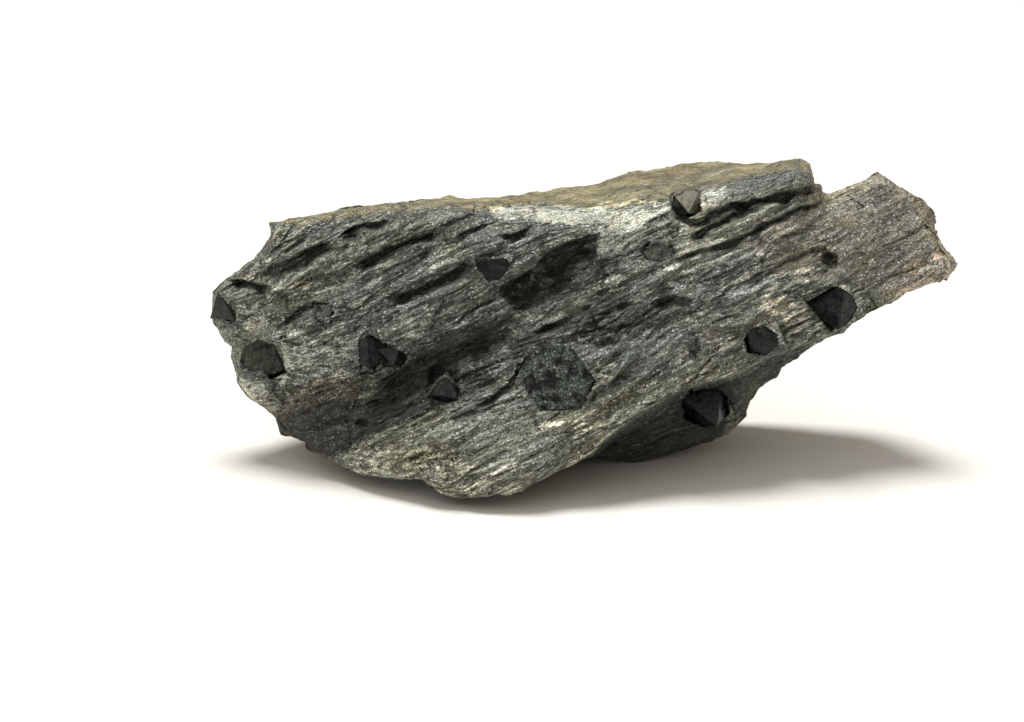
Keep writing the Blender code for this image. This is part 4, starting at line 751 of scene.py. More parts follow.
def outline_patch(u, v):
    """Coons patch: the four sides blended inwards, less the corners' own bilinear patch."""
    u, v = u[..., None], v[..., None]
    bottom, top = along(BOTTOM_SIDE, u[..., 0]), along(TOP_SIDE, u[..., 0])
    left, right = along(LEFT_SIDE, v[..., 0]), along(RIGHT_SIDE, v[..., 0])
    sides = (1 - v) * bottom + v * top + (1 - u) * left + u * right
    low = (1 - u) * np.array(BOTTOM_SIDE[0]) + u * np.array(BOTTOM_SIDE[-1])
    high = (1 - u) * np.array(TOP_SIDE[0]) + u * np.array(TOP_SIDE[-1])
    grid = sides - (1 - v) * low - v * high
    return grid[..., 0], grid[..., 1]


def line_distance(line, a, b):
    """Distance to a polyline, which side (+1 below it), and length run along it."""
    best = np.full(np.shape(a), 1e9)
    side = np.ones(np.shape(a))
    run = np.zeros(np.shape(a))
    start = 0.0
    for (a0, b0), (a1, b1) in zip(line[:-1], line[1:]):
        da, db = a1 - a0, b1 - b0
        span = math.hypot(da, db)
        t = held(((a - a0) * da + (b - b0) * db) / span ** 2)
        gap_a, gap_b = a - a0 - t * da, b - b0 - t * db
        gap = np.hypot(gap_a, gap_b)
        nearer = gap < best
        best = np.where(nearer, gap, best)
        side = np.where(nearer, np.sign(gap_a * db - gap_b * da + 1e-12), side)
        run = np.where(nearer, start + t * span, run)
        start += span
    return best, side, run, start


def depth_inside(outline, a, b):
    """Distance to a closed outline, positive inside it by the even-odd rule."""
    closed = outline + outline[:1]
    gap = line_distance(closed, a, b)[0]
    odd = np.zeros(np.shape(a), bool)
    for (a0, b0), (a1, b1) in zip(closed[:-1], closed[1:]):
        crosses = (b0 > b) != (b1 > b)
        odd ^= crosses & (a < a0 + (b - b0) * (a1 - a0) / (b1 - b0 + 1e-12))
    return np.where(odd, gap, -gap)


def smooth_surface(points, softness=2.0):
    """Multiquadric surface through scattered heights: sum of weighted sqrt(r^2 + s^2)."""
    data = np.array(points)
    gaps = data[:, None, :2] - data[None, :, :2]
    kernel = np.sqrt((gaps ** 2).sum(axis=2) + softness ** 2)
    weights = np.linalg.solve(kernel, data[:, 2])

    def height(a, b):
        total = np.zeros(np.shape(a))
        for (pa, pb, _), weight in zip(points, weights):
            total += weight * np.sqrt((a - pa) ** 2 + (b - pb) ** 2 + softness ** 2)
        return total

    return height


def lattice_noise(p, seed):
    """Value noise from -1 to 1: hashed lattice values eased between corners by 3f^2 - 2f^3."""
    cell = np.floor(p)
    f = p - cell
    f = f * f * (3.0 - 2.0 * f)
    total = np.zeros(p.shape[:-1])
    for corner in np.ndindex(2, 2, 2):
        q = cell + np.array(corner)
        wave = np.sin(q @ SCATTER + NOISE_SEED * seed) * SCATTER_GAIN
        value = 2.0 * (wave - np.floor(wave)) - 1.0
        weight = np.prod(np.where(np.array(corner) == 1, f, 1.0 - f), axis=-1)
        total += weight * value
    return total


def flat_noise(x, y, seed):
    """Lattice noise of two coordinates."""
    return lattice_noise(np.stack([x, y, np.zeros(np.shape(x))], axis=-1), seed)


def hashed(cells, seed):
    """A fixed number from 0 to 1 for each whole-numbered cell."""
    wave = np.sin(cells @ SCATTER[:2] + CELL_SEED * seed) * SCATTER_GAIN
    return wave - np.floor(wave)


def shaken(a, b, size, reach, finer, part, seeds):
    """The place (a, b) moved by the reach times coarse noise plus a part of finer noise."""
    shift = [reach * (flat_noise(a / size, b / size, coarse)
                      + part * flat_noise(finer * a / size, finer * b / size, fine))
             for coarse, fine in seeds]
    return a + shift[0], b + shift[1]


FACE = smooth_surface(FACE_POINTS)
LUMP = smooth_surface(LUMP_POINTS)


# ---- relief of the schist -------------------------------------------------------------------

def quarter_round(distance, radius):
    """0 at the edge rising to 1 at one radius from it, as a quarter circle does."""
    t = held(distance / radius)
    return np.sqrt(1.0 - (1.0 - t) ** 2)


def near_ledges(a, b):
    """For each ledge: depth below its lip, run along it, fading at its ends, and its sizes."""
    a, b = shaken(a, b, *RAGGED)
    for line, *sizes in LEDGES:
        gap, side, run, total = line_distance(line, a, b)
        ends = held(np.minimum(run, total - run) / LEDGE_END)
        yield gap * side, run, ends, (line[0][0], *sizes)


def ledge_drop(a, b):
    """Depth under each ledge: full in the slot below its lip, then up the ramp to the face."""
    depth = np.zeros(np.shape(a))
    for below, run, ends, (start, drop, slot, ramp) in near_ledges(a, b):
        wander = flat_noise(run / SLOT_WANDER, np.full(np.shape(a), UNLIKE_ROW * start), 9)
        rise = held((below - slot * (1.0 + WANDER_SHARE * wander)) / (RAMP_SHARE * ramp))
        deep = drop * (SLOT_DROP[0] + SLOT_DROP[1] * wander) * held(below / LEDGE_LIP)
        depth = np.maximum(depth, deep * (1.0 - rise) ** RAMP_POWER * ends)
    return depth


def lip_highlight_mask(a, b):
    """1 along the upper lip of each ledge, falling to 0 over a fraction of a millimetre."""
    near = np.zeros(np.shape(a))
    for below, _, ends, _ in near_ledges(a, b):
        near = np.maximum(near, ends * held(1.0 - np.abs(below + LIP_HIGHLIGHT_REACH) / LIP_HIGHLIGHT_REACH))
    return near


def pit_depth(a, b):
    """Bowls with steep sides: depth times one minus a high power of the radius."""
    depth = np.zeros(np.shape(a))
    a, b = shaken(a, b, *RAGGED)
    for middle_a, middle_b, half_a, half_b, deep in PITS:
        radius = np.hypot((a - middle_a) / half_a, (b - middle_b) / half_b)
        depth += deep * held(1.0 - radius ** PIT_POWER)
    return depth


def streak_axes(a, b):
    """Distance along the foliation's streaks and across them."""
    run = a * math.cos(STREAK_ANGLE) + b * math.sin(STREAK_ANGLE)
    rise = b * math.cos(STREAK_ANGLE) - a * math.sin(STREAK_ANGLE)
    return run, rise


def flakes(a, b, span, width, step, tilt, seed):
    """Each place takes the offset and the tilt of the flake whose middle is nearest."""
    run, rise = streak_axes(*shaken(a, b, *RAGGED))
    run, rise = run / span, rise / width
    home = np.stack([np.floor(run), np.floor(rise)], axis=-1)
    nearest = np.full(np.shape(a), 1e9)
    height = np.zeros(np.shape(a))
    for offset in np.ndindex(3, 3):
        cell = home + np.array(offset) - 1.0
        off_run = run - cell[..., 0] - CELL_EDGE - (1.0 - 2.0 * CELL_EDGE) * hashed(cell, seed)
        off_rise = rise - cell[..., 1] - CELL_EDGE - (1.0 - 2.0 * CELL_EDGE) * hashed(cell, seed + 1)
        gap = off_run ** 2 + off_rise ** 2
        lean = (hashed(cell, seed + 2) - 0.5) * off_run + (hashed(cell, seed + 3) - 0.5) * off_rise
        own = step * (2.0 * hashed(cell, seed + 4) - 1.0) + 2.0 * tilt * lean
        height = np.where(gap < nearest, own, height)
        nearest = np.minimum(gap, nearest)
    return height


def streaks(a, b, height):
    """Crests along the foliation: one minus twice the size of drawn-out noise, at three sizes."""
    run, rise = streak_axes(a, b)
    reach, span, width, seed = RIDGE_SWAY
    rise = rise + reach * flat_noise(run / span, rise / width, seed)
    total = np.zeros(np.shape(a))
    for spacing, span, part, seed in RIDGES:
        total += part * (1.0 - 2.0 * np.abs(flat_noise(run / span, rise / spacing, seed)))
    return height * total


def shingles(a, b, spacing, span, height, seed):
    """Overlapping splinters: a steep lip at the lower edge, then a slope that sinks to the next.

    Noise drawn out along the streaks bends their rows, and each row has its own height, which
    comes and goes along it.
    """
    run, rise = streak_axes(a, b)
    reach, rows = SHINGLE_BEND
    phase = rise / spacing + reach * flat_noise(run / span, rise / (rows * spacing), seed)
    reach, shorter = SHINGLE_FRAY
    phase += reach * flat_noise(shorter * run / span, rise / spacing, seed + 1)
    row = np.floor(phase)
    part = phase - row
    mean, reach, often = SHINGLE_RISE
    own = held(mean + reach * flat_noise(often * run / span, row * UNLIKE_ROW, seed + 2))
    return height * (own * held(part / SHINGLE_LIP) * (1.0 - part) - SHINGLE_SINK)


def layer_steps(points):
    """Layer edges: each foliation layer stands out or back by its own amount."""
    normal = FOLIATION_NORMAL / np.linalg.norm(FOLIATION_NORMAL)
    layer = (points @ normal) / LAYER_THICKNESS + FOLD_REACH * lattice_noise(points / FOLD_SIZE, 3)
    index = np.floor(layer)
    place_x, place_y = points[..., 0] / LAYER_LENGTH, points[..., 1] / LAYER_LENGTH
    own = lattice_noise(np.stack([place_x, index * UNLIKE_ROW, place_y], axis=-1), 5)
    above = lattice_noise(np.stack([place_x, (index + 1.0) * UNLIKE_ROW, place_y], axis=-1), 5)
    ease = held((layer - index - LAYER_SHARE) / (1.0 - LAYER_SHARE))
    return (1.0 - ease) * own + ease * above


def break_relief(points):
    """Broad swells and layer edges that every broken surface of the schist shows."""
    return BUMP_HEIGHT * lattice_noise(points / BUMP_SIZE, 1) + LAYER_STEP * layer_steps(points)


def rim_distance(a, b):
    """Distance in the base plane to the stone's outline."""
    outline = BOTTOM_SIDE + RIGHT_SIDE[1:] + TOP_SIDE[-2::-1] + LEFT_SIDE[-2::-1]
    return line_distance(outline, a, b)[0]


def rim_fade(rim):
    """Share of the relief that is kept: little at the thin rim, all of it further in."""
    return RIM_SHARE + (1.0 - RIM_SHARE) * held(rim / THIN_RIM)


def front_height(a, b, rim):
    """Smooth height of the front: the plate's face, and the lump behind its lower edge."""
    gap, side, _, _ = line_distance(PLATE_EDGE, a, b)
    below = gap * side
    face = FACE(a, b) - PLATE_ROUND * (1.0 - quarter_round(-below, PLATE_ROUND))
    behind = held(below / STEP_BLEND + 0.5)
    worn = EDGE_ROUND * (1.0 - quarter_round(rim, EDGE_ROUND))
    return (1.0 - behind) * face + behind * LUMP(a, b) - worn


def front_detail(a, b, rim, ridge):
    """What stands on the front or is cut into it: flakes, streaks, ledges and pits."""
    inner = 0.5 + 0.5 * held(2.0 * rim / THIN_RIM)
    coarse = FLAKE_SHARE * flakes(a, b, FLAKE_LENGTH, FLAKE_WIDTH, FLAKE_STEP, FLAKE_TILT, 11)
    fine = streaks(a, b, ridge)
    stir = np.ones(np.shape(a))
    for outline, softness, left in CALM:
        inside = held(depth_inside(outline, a, b) / softness + 0.5)
        stir = np.minimum(stir, 1.0 - (1.0 - left) * inside)
    for size in FINE_FLAKES:
        fine = fine + flakes(a, b, *size)
    for size in SHINGLES:
        fine = fine + stir * shingles(a, b, *size)
    return inner * (coarse + fine - ledge_drop(a, b) - pit_depth(a, b))


def back_height(a, b, rim):
    """Where each fan line leaves the solid that the flat breaks enclose."""
    direction = fan_direction(a, b)
    leave = np.full(np.shape(a), 2.0)
    for outward, point in BREAKS:
        normal = np.array(outward) / np.linalg.norm(outward)
        slope = direction @ normal
        reach = (np.array(point) - APEX) @ normal
        leave = np.where(slope > 0.01, np.minimum(leave, reach / np.maximum(slope, 0.01)), leave)
    front = front_height(a, b, rim)
    deep = np.minimum(FAN_LENGTH * (1.0 - leave), front - LEAST_THICKNESS)
    return front + (deep - front) * quarter_round(rim, WALL_DEPTH)


def back_detail(a, b, rim, ridge):
    """Flakes and streaks of the back, which fade out where the wall turns to the rim."""
    relief = FLAKE_SHARE * flakes(a, b, FLAKE_LENGTH, FLAKE_WIDTH, FLAKE_STEP, FLAKE_TILT, 23)
    relief = relief + flakes(a, b, *FINE_FLAKES[0]) + streaks(a, b, 0.5 * ridge)
    for size in SHINGLES:
        relief = relief + shingles(a, b, *size)
    return relief * quarter_round(rim, 2.0 * WALL_DEPTH)


def even_fractions(points, fractions, axis):
    """Fractions along one axis of a grid that space its points evenly in space."""
    points, fractions = np.swapaxes(points, 0, axis), np.swapaxes(fractions, 0, axis)
    steps = np.linalg.norm(np.diff(points, axis=0), axis=-1)
    run = np.concatenate([np.zeros((1, steps.shape[1])), np.cumsum(steps, axis=0)])
    wanted = np.linspace(0.0, 1.0, len(run))
    lines = [np.interp(wanted, run[:, k] / run[-1, k], fractions[:, k]) for k in range(run.shape[1])]
    return np.swapaxes(np.stack(lines, axis=1), 0, axis)


def back_grid(u, v):
    """The back's own (u, v): even over its steep walls, the front's along the rim."""
    for axis in (0, 1):
        a, b = outline_patch(u, v)
        even = even_fractions(place(a, b, back_height(a, b, rim_distance(a, b))), (u, v)[axis], axis)
        crossing = (v, u)[axis]
        part = EVEN_SHARE * held(np.minimum(crossing, 1.0 - crossing) / EVEN_MARGIN)
        if axis == 0:
            u = u + part * (even - u)
        else:
            v = v + part * (even - v)
    return u, v


# ---- meshes -----------------------------------------------------------------------------------

def sheet_faces(numbers, flip):
    """Quads between neighbouring grid numbers."""
    corners = [numbers[:-1, :-1], numbers[1:, :-1], numbers[1:, 1:], numbers[:-1, 1:]]
    quads = np.stack([corner.ravel() for corner in corners], axis=-1)
    return quads[:, ::-1] if flip else quads


def join_sheets(front, back):
    """One list of points from two grids: the back takes the front's own rim points."""
    size = front.shape[-1]
    return np.concatenate([front.reshape(-1, size), back[1:-1, 1:-1].reshape(-1, size)])


def sheet_numbers(columns, rows):
    """Point numbers of the two grids, in the order in which join_sheets lists them."""
    front = np.arange(columns * rows).reshape(columns, rows)
    back = front.copy()
    inside = (columns - 2) * (rows - 2)
    back[1:-1, 1:-1] = columns * rows + np.arange(inside).reshape(columns - 2, rows - 2)
    return front, back


def outward_normals(points, faces):
    """Unit normal of every point: the mean of its faces' normals by area."""
    corners = points[faces]
    crossed = np.cross(corners[:, 2] - corners[:, 0], corners[:, 3] - corners[:, 1])
    normals = np.zeros_like(points)
    for k in range(4):
        np.add.at(normals, faces[:, k], crossed)
    return unit(normals)


def put_in_scene(name, data):
    """A new object that shows the given mesh, light or camera."""
    thing = bpy.data.objects.new(name, data)
    bpy.context.scene.collection.objects.link(thing)
    return thing


def make_piece(name, points, faces):
    """A new object from points in millimetres, held in the box, riding on the stone's body."""
    mesh = bpy.data.meshes.new(name)
    corners = faces.shape[1]
    points = np.clip(points, LOW, HIGH) * MM
    mesh.vertices.add(len(points))
    mesh.vertices.foreach_set("co", points.astype(np.float32).ravel())
    mesh.loops.add(faces.size)
    mesh.loops.foreach_set("vertex_index", faces.astype(np.int32).ravel())
    mesh.polygons.add(len(faces))
    mesh.polygons.foreach_set("loop_start", np.arange(len(faces), dtype=np.int32) * corners)
    mesh.update(calc_edges=True)
    mesh.validate()
    piece = put_in_scene(name, mesh)
    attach(piece, "root")
    return piece


def thin_out(piece, triangles):
    """Fewer, larger triangles where the surface is flat, as many as before on its edges."""
    thin = piece.modifiers.new("Thin", "DECIMATE")
    thin.ratio = min(1.0, triangles / (2.0 * len(piece.data.polygons)))
    thin.use_collapse_triangulate = True
    bpy.context.view_layer.update()
    graph = bpy.context.evaluated_depsgraph_get()
    mesh = bpy.data.meshes.new_from_object(piece.evaluated_get(graph))
    piece.modifiers.clear()
    piece.data = mesh
    mesh.name = piece.name


def read_points(mesh):
    """The mesh's points in millimetres and its unit normals, as whole arrays."""
    points = np.empty(3 * len(mesh.vertices), np.float32)
    mesh.vertices.foreach_get("co", points)
    normals = np.empty(3 * len(mesh.vertices), np.float32)
    mesh.vertex_normals.foreach_get("vector", normals)
    return points.reshape(-1, 3).astype(float) / MM, normals.reshape(-1, 3).astype(float)


def write_share(mesh, name, values):
    """Stores one number for each point, which the material reads by name."""
    layer = mesh.attributes.new(name, "FLOAT", "POINT")
    layer.data.foreach_set("value", held(values).astype(np.float32))


def soften_flats(mesh, degrees):
    """Smooth shading, but edges sharper than the given angle stay crisp."""
    mesh.polygons.foreach_set("use_smooth", np.ones(len(mesh.polygons), bool))
    mesh.set_sharp_from_angle(angle=math.radians(degrees))
    mesh.update()


# ---- mica flakes: thin five-sided plates that lie in the break ---------------------------------

def spots_on(mesh, number, towards_front, seed):
    """Random places on the mesh, as many as asked, with the face's normal: weighted by area."""
    corners = np.empty(len(mesh.loops), np.int32)
    mesh.loops.foreach_get("vertex_index", corners)
    triangles = read_points(mesh)[0][corners.reshape(-1, 3)]
    crossed = np.cross(triangles[:, 1] - triangles[:, 0], triangles[:, 2] - triangles[:, 0])
    area = np.linalg.norm(crossed, axis=1)
    normals = crossed / np.maximum(area, 1e-12)[:, None]
    faces_front = np.einsum("ij,ij->i", normals, APEX - triangles.mean(axis=1)) > 0.0
    weight = area * (faces_front == towards_front) * (triangles[:, :, 2].min(axis=1) > FLAKE_CLEAR)
    chance = np.random.default_rng(seed)
    chosen = chance.choice(len(area), size=number, p=weight / weight.sum())
    first, second = chance.random((2, number))
    fold = first + second > 1.0
    first, second = np.where(fold, 1.0 - first, first), np.where(fold, 1.0 - second, second)
    corner = triangles[chosen]
    spots = corner[:, 0] + first[:, None] * (corner[:, 1] - corner[:, 0])
    spots += second[:, None] * (corner[:, 2] - corner[:, 0])
    return spots, normals[chosen], chance


def flake_surface(spots, normals, chance, size):
    """Each flake is a flat double pyramid on a ring of corners, drawn out along the streaks."""
    number = len(spots)
    facing = unit(normals + FLAKE_LEAN * chance.normal(size=(number, 3)))
    streak = unit(math.cos(STREAK_ANGLE) * RIGHT + math.sin(STREAK_ANGLE) * UP
                  + FLAKE_STRAY * chance.normal(size=(number, 3)))
    along_it = unit(streak - facing * np.einsum("ij,ij->i", streak, facing)[:, None])
    across = np.cross(facing, along_it)
    scale = size * chance.uniform(0.5, 1.5, number)
    side = np.arange(FLAKE_CORNERS)
    turn = 2.0 * np.pi * side / FLAKE_CORNERS + chance.random((number, 1)) * 2.0 * np.pi
    wide = scale[:, None] * chance.uniform(0.75, 1.2, (number, FLAKE_CORNERS))
    ring = (spots[:, None] + (wide * np.cos(turn))[..., None] * along_it[:, None]
            + (FLAKE_NARROW * wide * np.sin(turn))[..., None] * across[:, None])
    lift = (FLAKE_THICK * scale)[:, None] * facing
    points = np.concatenate([ring, (spots + lift)[:, None], (spots - lift)[:, None]], axis=1)
    following = (side + 1) % FLAKE_CORNERS
    upper = np.stack([side, following, np.full(FLAKE_CORNERS, FLAKE_CORNERS)], axis=-1)
    lower = np.stack([following, side, np.full(FLAKE_CORNERS, FLAKE_CORNERS + 1)], axis=-1)
    first = FLAKE_POINTS * np.arange(number)[:, None, None]
    faces = np.concatenate([upper, lower])[None] + first
    return points.reshape(-1, 3), faces.reshape(-1, 3)


# ---- crystals: convex solids given by their faces ------------------------------------------------

def crystal_axes(spin, lean, turn):
    """Rows are the crystal's own axes in space: spun, leaned over and turned in its place."""
    spun = Matrix.Rotation(math.radians(spin), 3, "Z")
    leaned = Matrix.Rotation(math.radians(lean), 3, "X")
    turned = Matrix.Rotation(math.radians(turn), 3, "Z")
    axes = Matrix((RIGHT, UP, -BACK)).transposed()
    return np.array(axes @ turned @ leaned @ spun).T


def back_axes(turns):
    """Rows are the axes of a crystal turned about X, Y and Z."""
    turn = Matrix.Identity(3)
    for axis, angle in zip("XYZ", turns):
        turn = Matrix.Rotation(math.radians(angle), 3, axis) @ turn
    return np.array(turn).T


def octahedron(centre, edge, axes, broken=None):
    """Faces as (normal, reach): the eight mixed signs of the axes, and a broken top."""
    signs = np.array([(x, y, z) for x in (-1, 1) for y in (-1, 1) for z in (-1, 1)])
    normals = signs @ axes / math.sqrt(3.0)
    reaches = normals @ centre + edge / math.sqrt(6.0)
    if broken is not None:
        normals = np.vstack([normals, -BACK])
        reaches = np.append(reaches, -BACK @ (centre - BACK * broken))
    return {"centre": centre, "edge": edge, "axes": axes, "normals": normals,
            "reaches": reaches, "broken": broken is not None}


def sunk_in(surface, spot, depth):
    """The place that lies the given depth under the schist's face at (a, b)."""
    a, b = np.array(spot[0]), np.array(spot[1])
    return place(a, b, surface(a, b) - depth)


def crystal_solids():
    """Every crystal by name, as the one or two octahedra that it consists of."""
    found = {}
    for name, spot, depth, edge, turns, broken in CRYSTALS:
        surface = LUMP if name == UNDER_PLATE else FACE
        centre = sunk_in(surface, spot, depth)
        found[name] = [octahedron(centre, edge, crystal_axes(*turns), broken)]
    found[TWIN_NAME] = [octahedron(sunk_in(FACE, spot, depth), edge, crystal_axes(*turns))
                        for spot, depth, edge, turns in TWIN]
    for name, centre, edge, turns in BACK_CRYSTALS:
        found[name] = [octahedron(np.array(centre), edge, back_axes(turns))]
    return found


def crystal_height(solids, a, b):
    """Height at which the fan line enters the crystal, and minus infinity where it misses."""
    direction = fan_direction(a, b)
    height = np.full(np.shape(a), -np.inf)
    for solid in solids:
        enter, leave = np.full(np.shape(a), -np.inf), np.full(np.shape(a), np.inf)
        for normal, reach in zip(solid["normals"], solid["reaches"]):
            slope = direction @ normal
            meet = (reach - APEX @ normal) / np.where(np.abs(slope) < 1e-9, 1e-9, slope)
            enter = np.where(slope < 0.0, np.maximum(enter, meet), enter)
            leave = np.where(slope > 0.0, np.minimum(leave, meet), leave)
        met = enter < leave
        height = np.where(met, np.maximum(height, FAN_LENGTH * (1.0 - enter)), height)
    return height


def lap_round_crystals(a, b, h, solids):
    """Inside a crystal's window the schist stands back from it, around it the schist laps on."""
    for name, outline in WINDOWS:
        inside = depth_inside(outline, a, b)
        crystal = crystal_height(solids[name], a, b)
        met = np.isfinite(crystal)
        floor = np.where(met, crystal, h) - WINDOW_DEPTH
        h = np.where(inside > 0.0, np.minimum(h, floor), h)
        lapped = np.where(met & (inside <= 0.0) & (inside > -LAP_REACH), crystal + LAP, -np.inf)
        h = np.maximum(h, lapped)
    return h


def rounded_reach(solid, origin, directions):
    """Distance from the origin to the crystal's skin: faces combined by a high power mean."""
    slopes = np.maximum(directions @ solid["normals"].T, 0.0)
    room = np.maximum(solid["reaches"] - solid["normals"] @ origin, LEAST_ROOM)
    return 1.0 / ((slopes / room) ** EDGE_SHARPNESS).sum(axis=-1) ** (1.0 / EDGE_SHARPNESS)


def crystal_middle(solids):
    """A point well inside the crystal: for a twin where its halves overlap, else its centre."""
    if len(solids) == 2:
        first, second = solids
        part = first["edge"] / (first["edge"] + second["edge"])
        return first["centre"] + part * (second["centre"] - first["centre"])
    solid = solids[0]
    return solid["centre"] + BACK * (BROKEN_DEPTH * solid["edge"] if solid["broken"] else 0.0)


def crystal_surface(solids, around, upward, step):
    """Grid round the crystal's axis: the skin's distance in every direction, less its steps."""
    middle = crystal_middle(solids)
    turn, tilt = np.meshgrid(np.linspace(0.0, 2.0 * np.pi, around, endpoint=False),
                             np.linspace(0.0, np.pi, upward)[1:-1], indexing="ij")
    own = np.stack([np.cos(turn) * np.sin(tilt), np.sin(turn) * np.sin(tilt), np.cos(tilt)], axis=-1)
    own = np.concatenate([own.reshape(-1, 3), [(0.0, 0.0, 1.0), (0.0, 0.0, -1.0)]])
    directions = own @ solids[0]["axes"]
    reach = np.max([rounded_reach(solid, middle, directions) for solid in solids], axis=0)
    points = middle + directions * reach[:, None]
    spacing, number, seed = TERRACES
    terrace = np.floor(number * lattice_noise(points / spacing, seed)) / number
    spacing, part, seed = ROUGHNESS
    rough = lattice_noise(points / spacing, seed)
    points -= directions * (step * (1.0 + terrace) + part * step * rough)[:, None]
    return points


def crystal_faces(around, upward):
    """Quads of the grid, closed round, and a fan of doubled corners at each pole."""
    numbers = np.arange(around * (upward - 2)).reshape(around, upward - 2)
    wrapped = np.vstack([numbers, numbers[:1]])
    quads = sheet_faces(wrapped, True)
    top, bottom = around * (upward - 2), around * (upward - 2) + 1
    ring = wrapped[:, 0]
    low = wrapped[:, -1]
    first = np.stack([np.full(around, top), ring[:-1], ring[1:]], axis=-1)
    last = np.stack([np.full(around, bottom), low[1:], low[:-1]], axis=-1)
    split = np.concatenate([quads[:, [0, 1, 2]], quads[:, [0, 2, 3]]])
    return np.concatenate([split, first, last])


# ---- materials ----------------------------------------------------------------------------------

def plug(tree, node, inputs):
    """Fills a node's inputs, in order or by name: sockets are linked, plain values are set."""
    rows = inputs.items() if isinstance(inputs, dict) else enumerate(inputs)
    for name, value in rows:
        socket = node.inputs[name]
        if isinstance(value, bpy.types.NodeSocket):
            tree.links.new(value, socket)
        elif socket.type == "RGBA":
            socket.default_value = (*value, 1.0)
        else:
            socket.default_value = value


def add_node(tree, kind, inputs=(), output=0, **settings):
    """Adds one node with its settings and inputs; the result is one output, or all for None."""
    node = tree.nodes.new("ShaderNode" + kind)
    for name, value in settings.items():
        setattr(node, name, value)
    plug(tree, node, inputs)
    return node.outputs if output is None else node.outputs[output]


def new_material(name):
    """A material, the function that adds its nodes, and the one that fills its surface."""
    material = bpy.data.materials.new(name)
    material.use_nodes = True
    tree = material.node_tree
    shader = tree.nodes["Principled BSDF"]
    return material, partial(add_node, tree), partial(plug, tree, shader)


def foliation_turn():
    """Turn that brings the streaks on the front to X and the foliation's normal near Z."""
    streak = Vector(math.cos(STREAK_ANGLE) * RIGHT + math.sin(STREAK_ANGLE) * UP).normalized()
    across = Vector(FOLIATION_NORMAL).cross(streak).normalized()
    return Matrix((streak, across, streak.cross(across))).to_euler()


def leaned_normal(add, cells, amount):
    """The surface's normal plus each grain's own random lean, made as long as one again."""
    lean = add("VectorMath", (cells, (0.5, 0.5, 0.5)), **LESS)
    lean = add("VectorMath", {0: lean, "Scale": amount}, operation="SCALE")
    facing = add("NewGeometry", output="Normal")
    leaned = add("VectorMath", (facing, lean), **PLUS)
    return add("VectorMath", (leaned,), operation="NORMALIZE")


def lay_coats(add, base, coats):
    """Lays colours over each other, each where its own share lets it cover what is below."""
    for share, tint in coats:
        base = add("Mix", {0: share, 6: base, 7: tint}, 2, **COAT)
    return base


def shaded(add, base, brightness):
    """A colour times a brightness."""
    grey = add("CombineColor", (brightness, brightness, brightness))
    return add("Mix", {0: 1.0, 6: base, 7: grey}, 2, **TINT)


def schist_noises(add):
    """The schist's noises by name, each stretched in the folded foliation, and its grains."""
    spot = add("TexCoord", output="Object")
    millimetres = add("Mapping", {"Vector": spot, "Scale": (1.0 / MM,) * 3})
    turned = add("Mapping", {"Vector": millimetres, "Rotation": foliation_turn()})
    swell = add("TexNoise", {"Vector": millimetres, "Scale": 1.0 / SWELL_SIZE, "Detail": 2.0}, "Color")
    swell = add("VectorMath", (swell, (0.5, 0.5, 0.5)), **LESS)
    swell = add("VectorMath", {0: swell, "Scale": SWELL_REACH}, operation="SCALE")
    folded = add("VectorMath", (turned, swell), **PLUS)
    noises = {}
    for name, (stretch, detail, rough) in SCHIST_NOISES.items():
        scale = tuple(1.0 / size for size in stretch)
        vector = add("Mapping", {"Vector": folded, "Scale": scale})
        noises[name] = add("TexNoise", {"Vector": vector, "Scale": 1.0, "Detail": detail,
                                        "Roughness": rough})
    grain = add("Mapping", {"Vector": turned, "Scale": GRAINS_PER_MM})
    return noises, add("TexVoronoi", {"Vector": grain, "Scale": 1.0}, "Color")


def zone_coats(add, base, settings, zones, noises):
    """Each kind of colour tints the streaks below it, and hides them by its flatness."""
    ragged = add("MapRange", (noises["tongues"], 0.3, 0.7, -0.55, 0.55), **EASED)
    cover = add("MapRange", (noises["patches"], 0.35, 0.55, 0.9, 1.0), **EASED)
    for name, strength, flatness, shown in SHARES:
        edge = add("Math", (ragged, add("MapRange", (zones[name], 0.0, 0.2), **EASED)), **TIMES)
        raised = add("Math", (zones[name], edge), **PLUS)
        share = add("MapRange", (raised, 0.1, 0.9, 0.0, strength), **EASED)
        share = add("Math", (share, cover), **TIMES)
        full = getattr(settings, shown)
        tint = tuple(part / common for part, common in zip(full, settings.mid))
        base = add("Mix", {0: share, 6: base, 7: tint}, 2, **TINT)
        base = lay_coats(add, base, [(add("Math", (share, flatness), **TIMES), full)])
    return base


def fine_cracks(add, zones, noises):
    """Painted shade of fine cracks: dark seams where their noise is near its middle, fewer where the
    stone is pale.
    """
    seams = add("Math", (add("Math", (noises["seams"], 0.5), **LESS),), operation="ABSOLUTE")
    cracks = add("MapRange", (seams, 0.0, 0.024, 0.95, 0.0), **EASED)
    keep = add("MapRange", (noises["bands"], 0.58, 0.46, 0.1, 1.0), **EASED)
    cracks = add("Math", (cracks, keep), **TIMES)
    for name in ("dusty", "pale", "weathered"):
        keep = add("MapRange", (zones[name], 0.0, 1.0, 1.0, 0.35), **EASED)
        cracks = add("Math", (cracks, keep), **TIMES)
    return cracks


def scale_brightness(add, grain, noises, skin):
    """Scales differ in brightness, less so on the weathered skin, which is blotched instead."""
    blotch = add("MapRange", (noises["blotches"], 0.36, 0.64, 0.60, 1.5), **EASED)
    blotch = add("Math", (skin, add("Math", (blotch, 1.0), **LESS)), **TIMES)
    blotch = add("Math", (blotch, 1.0), **PLUS)
    reach = add("MapRange", (skin, 0.0, 1.0, 0.5, 0.3), **EASED)
    dim, bright = add("Math", (1.0, reach), **LESS), add("Math", (1.0, reach), **PLUS)
    scales = add("MapRange", (grain, 0.0, 1.0, dim, bright), **EASED)
    specks = add("MapRange", (noises["speckle"], 0.30, 0.70, dim, bright), **EASED)
    return add("Math", (add("Math", (scales, specks), **TIMES), blotch), **TIMES)


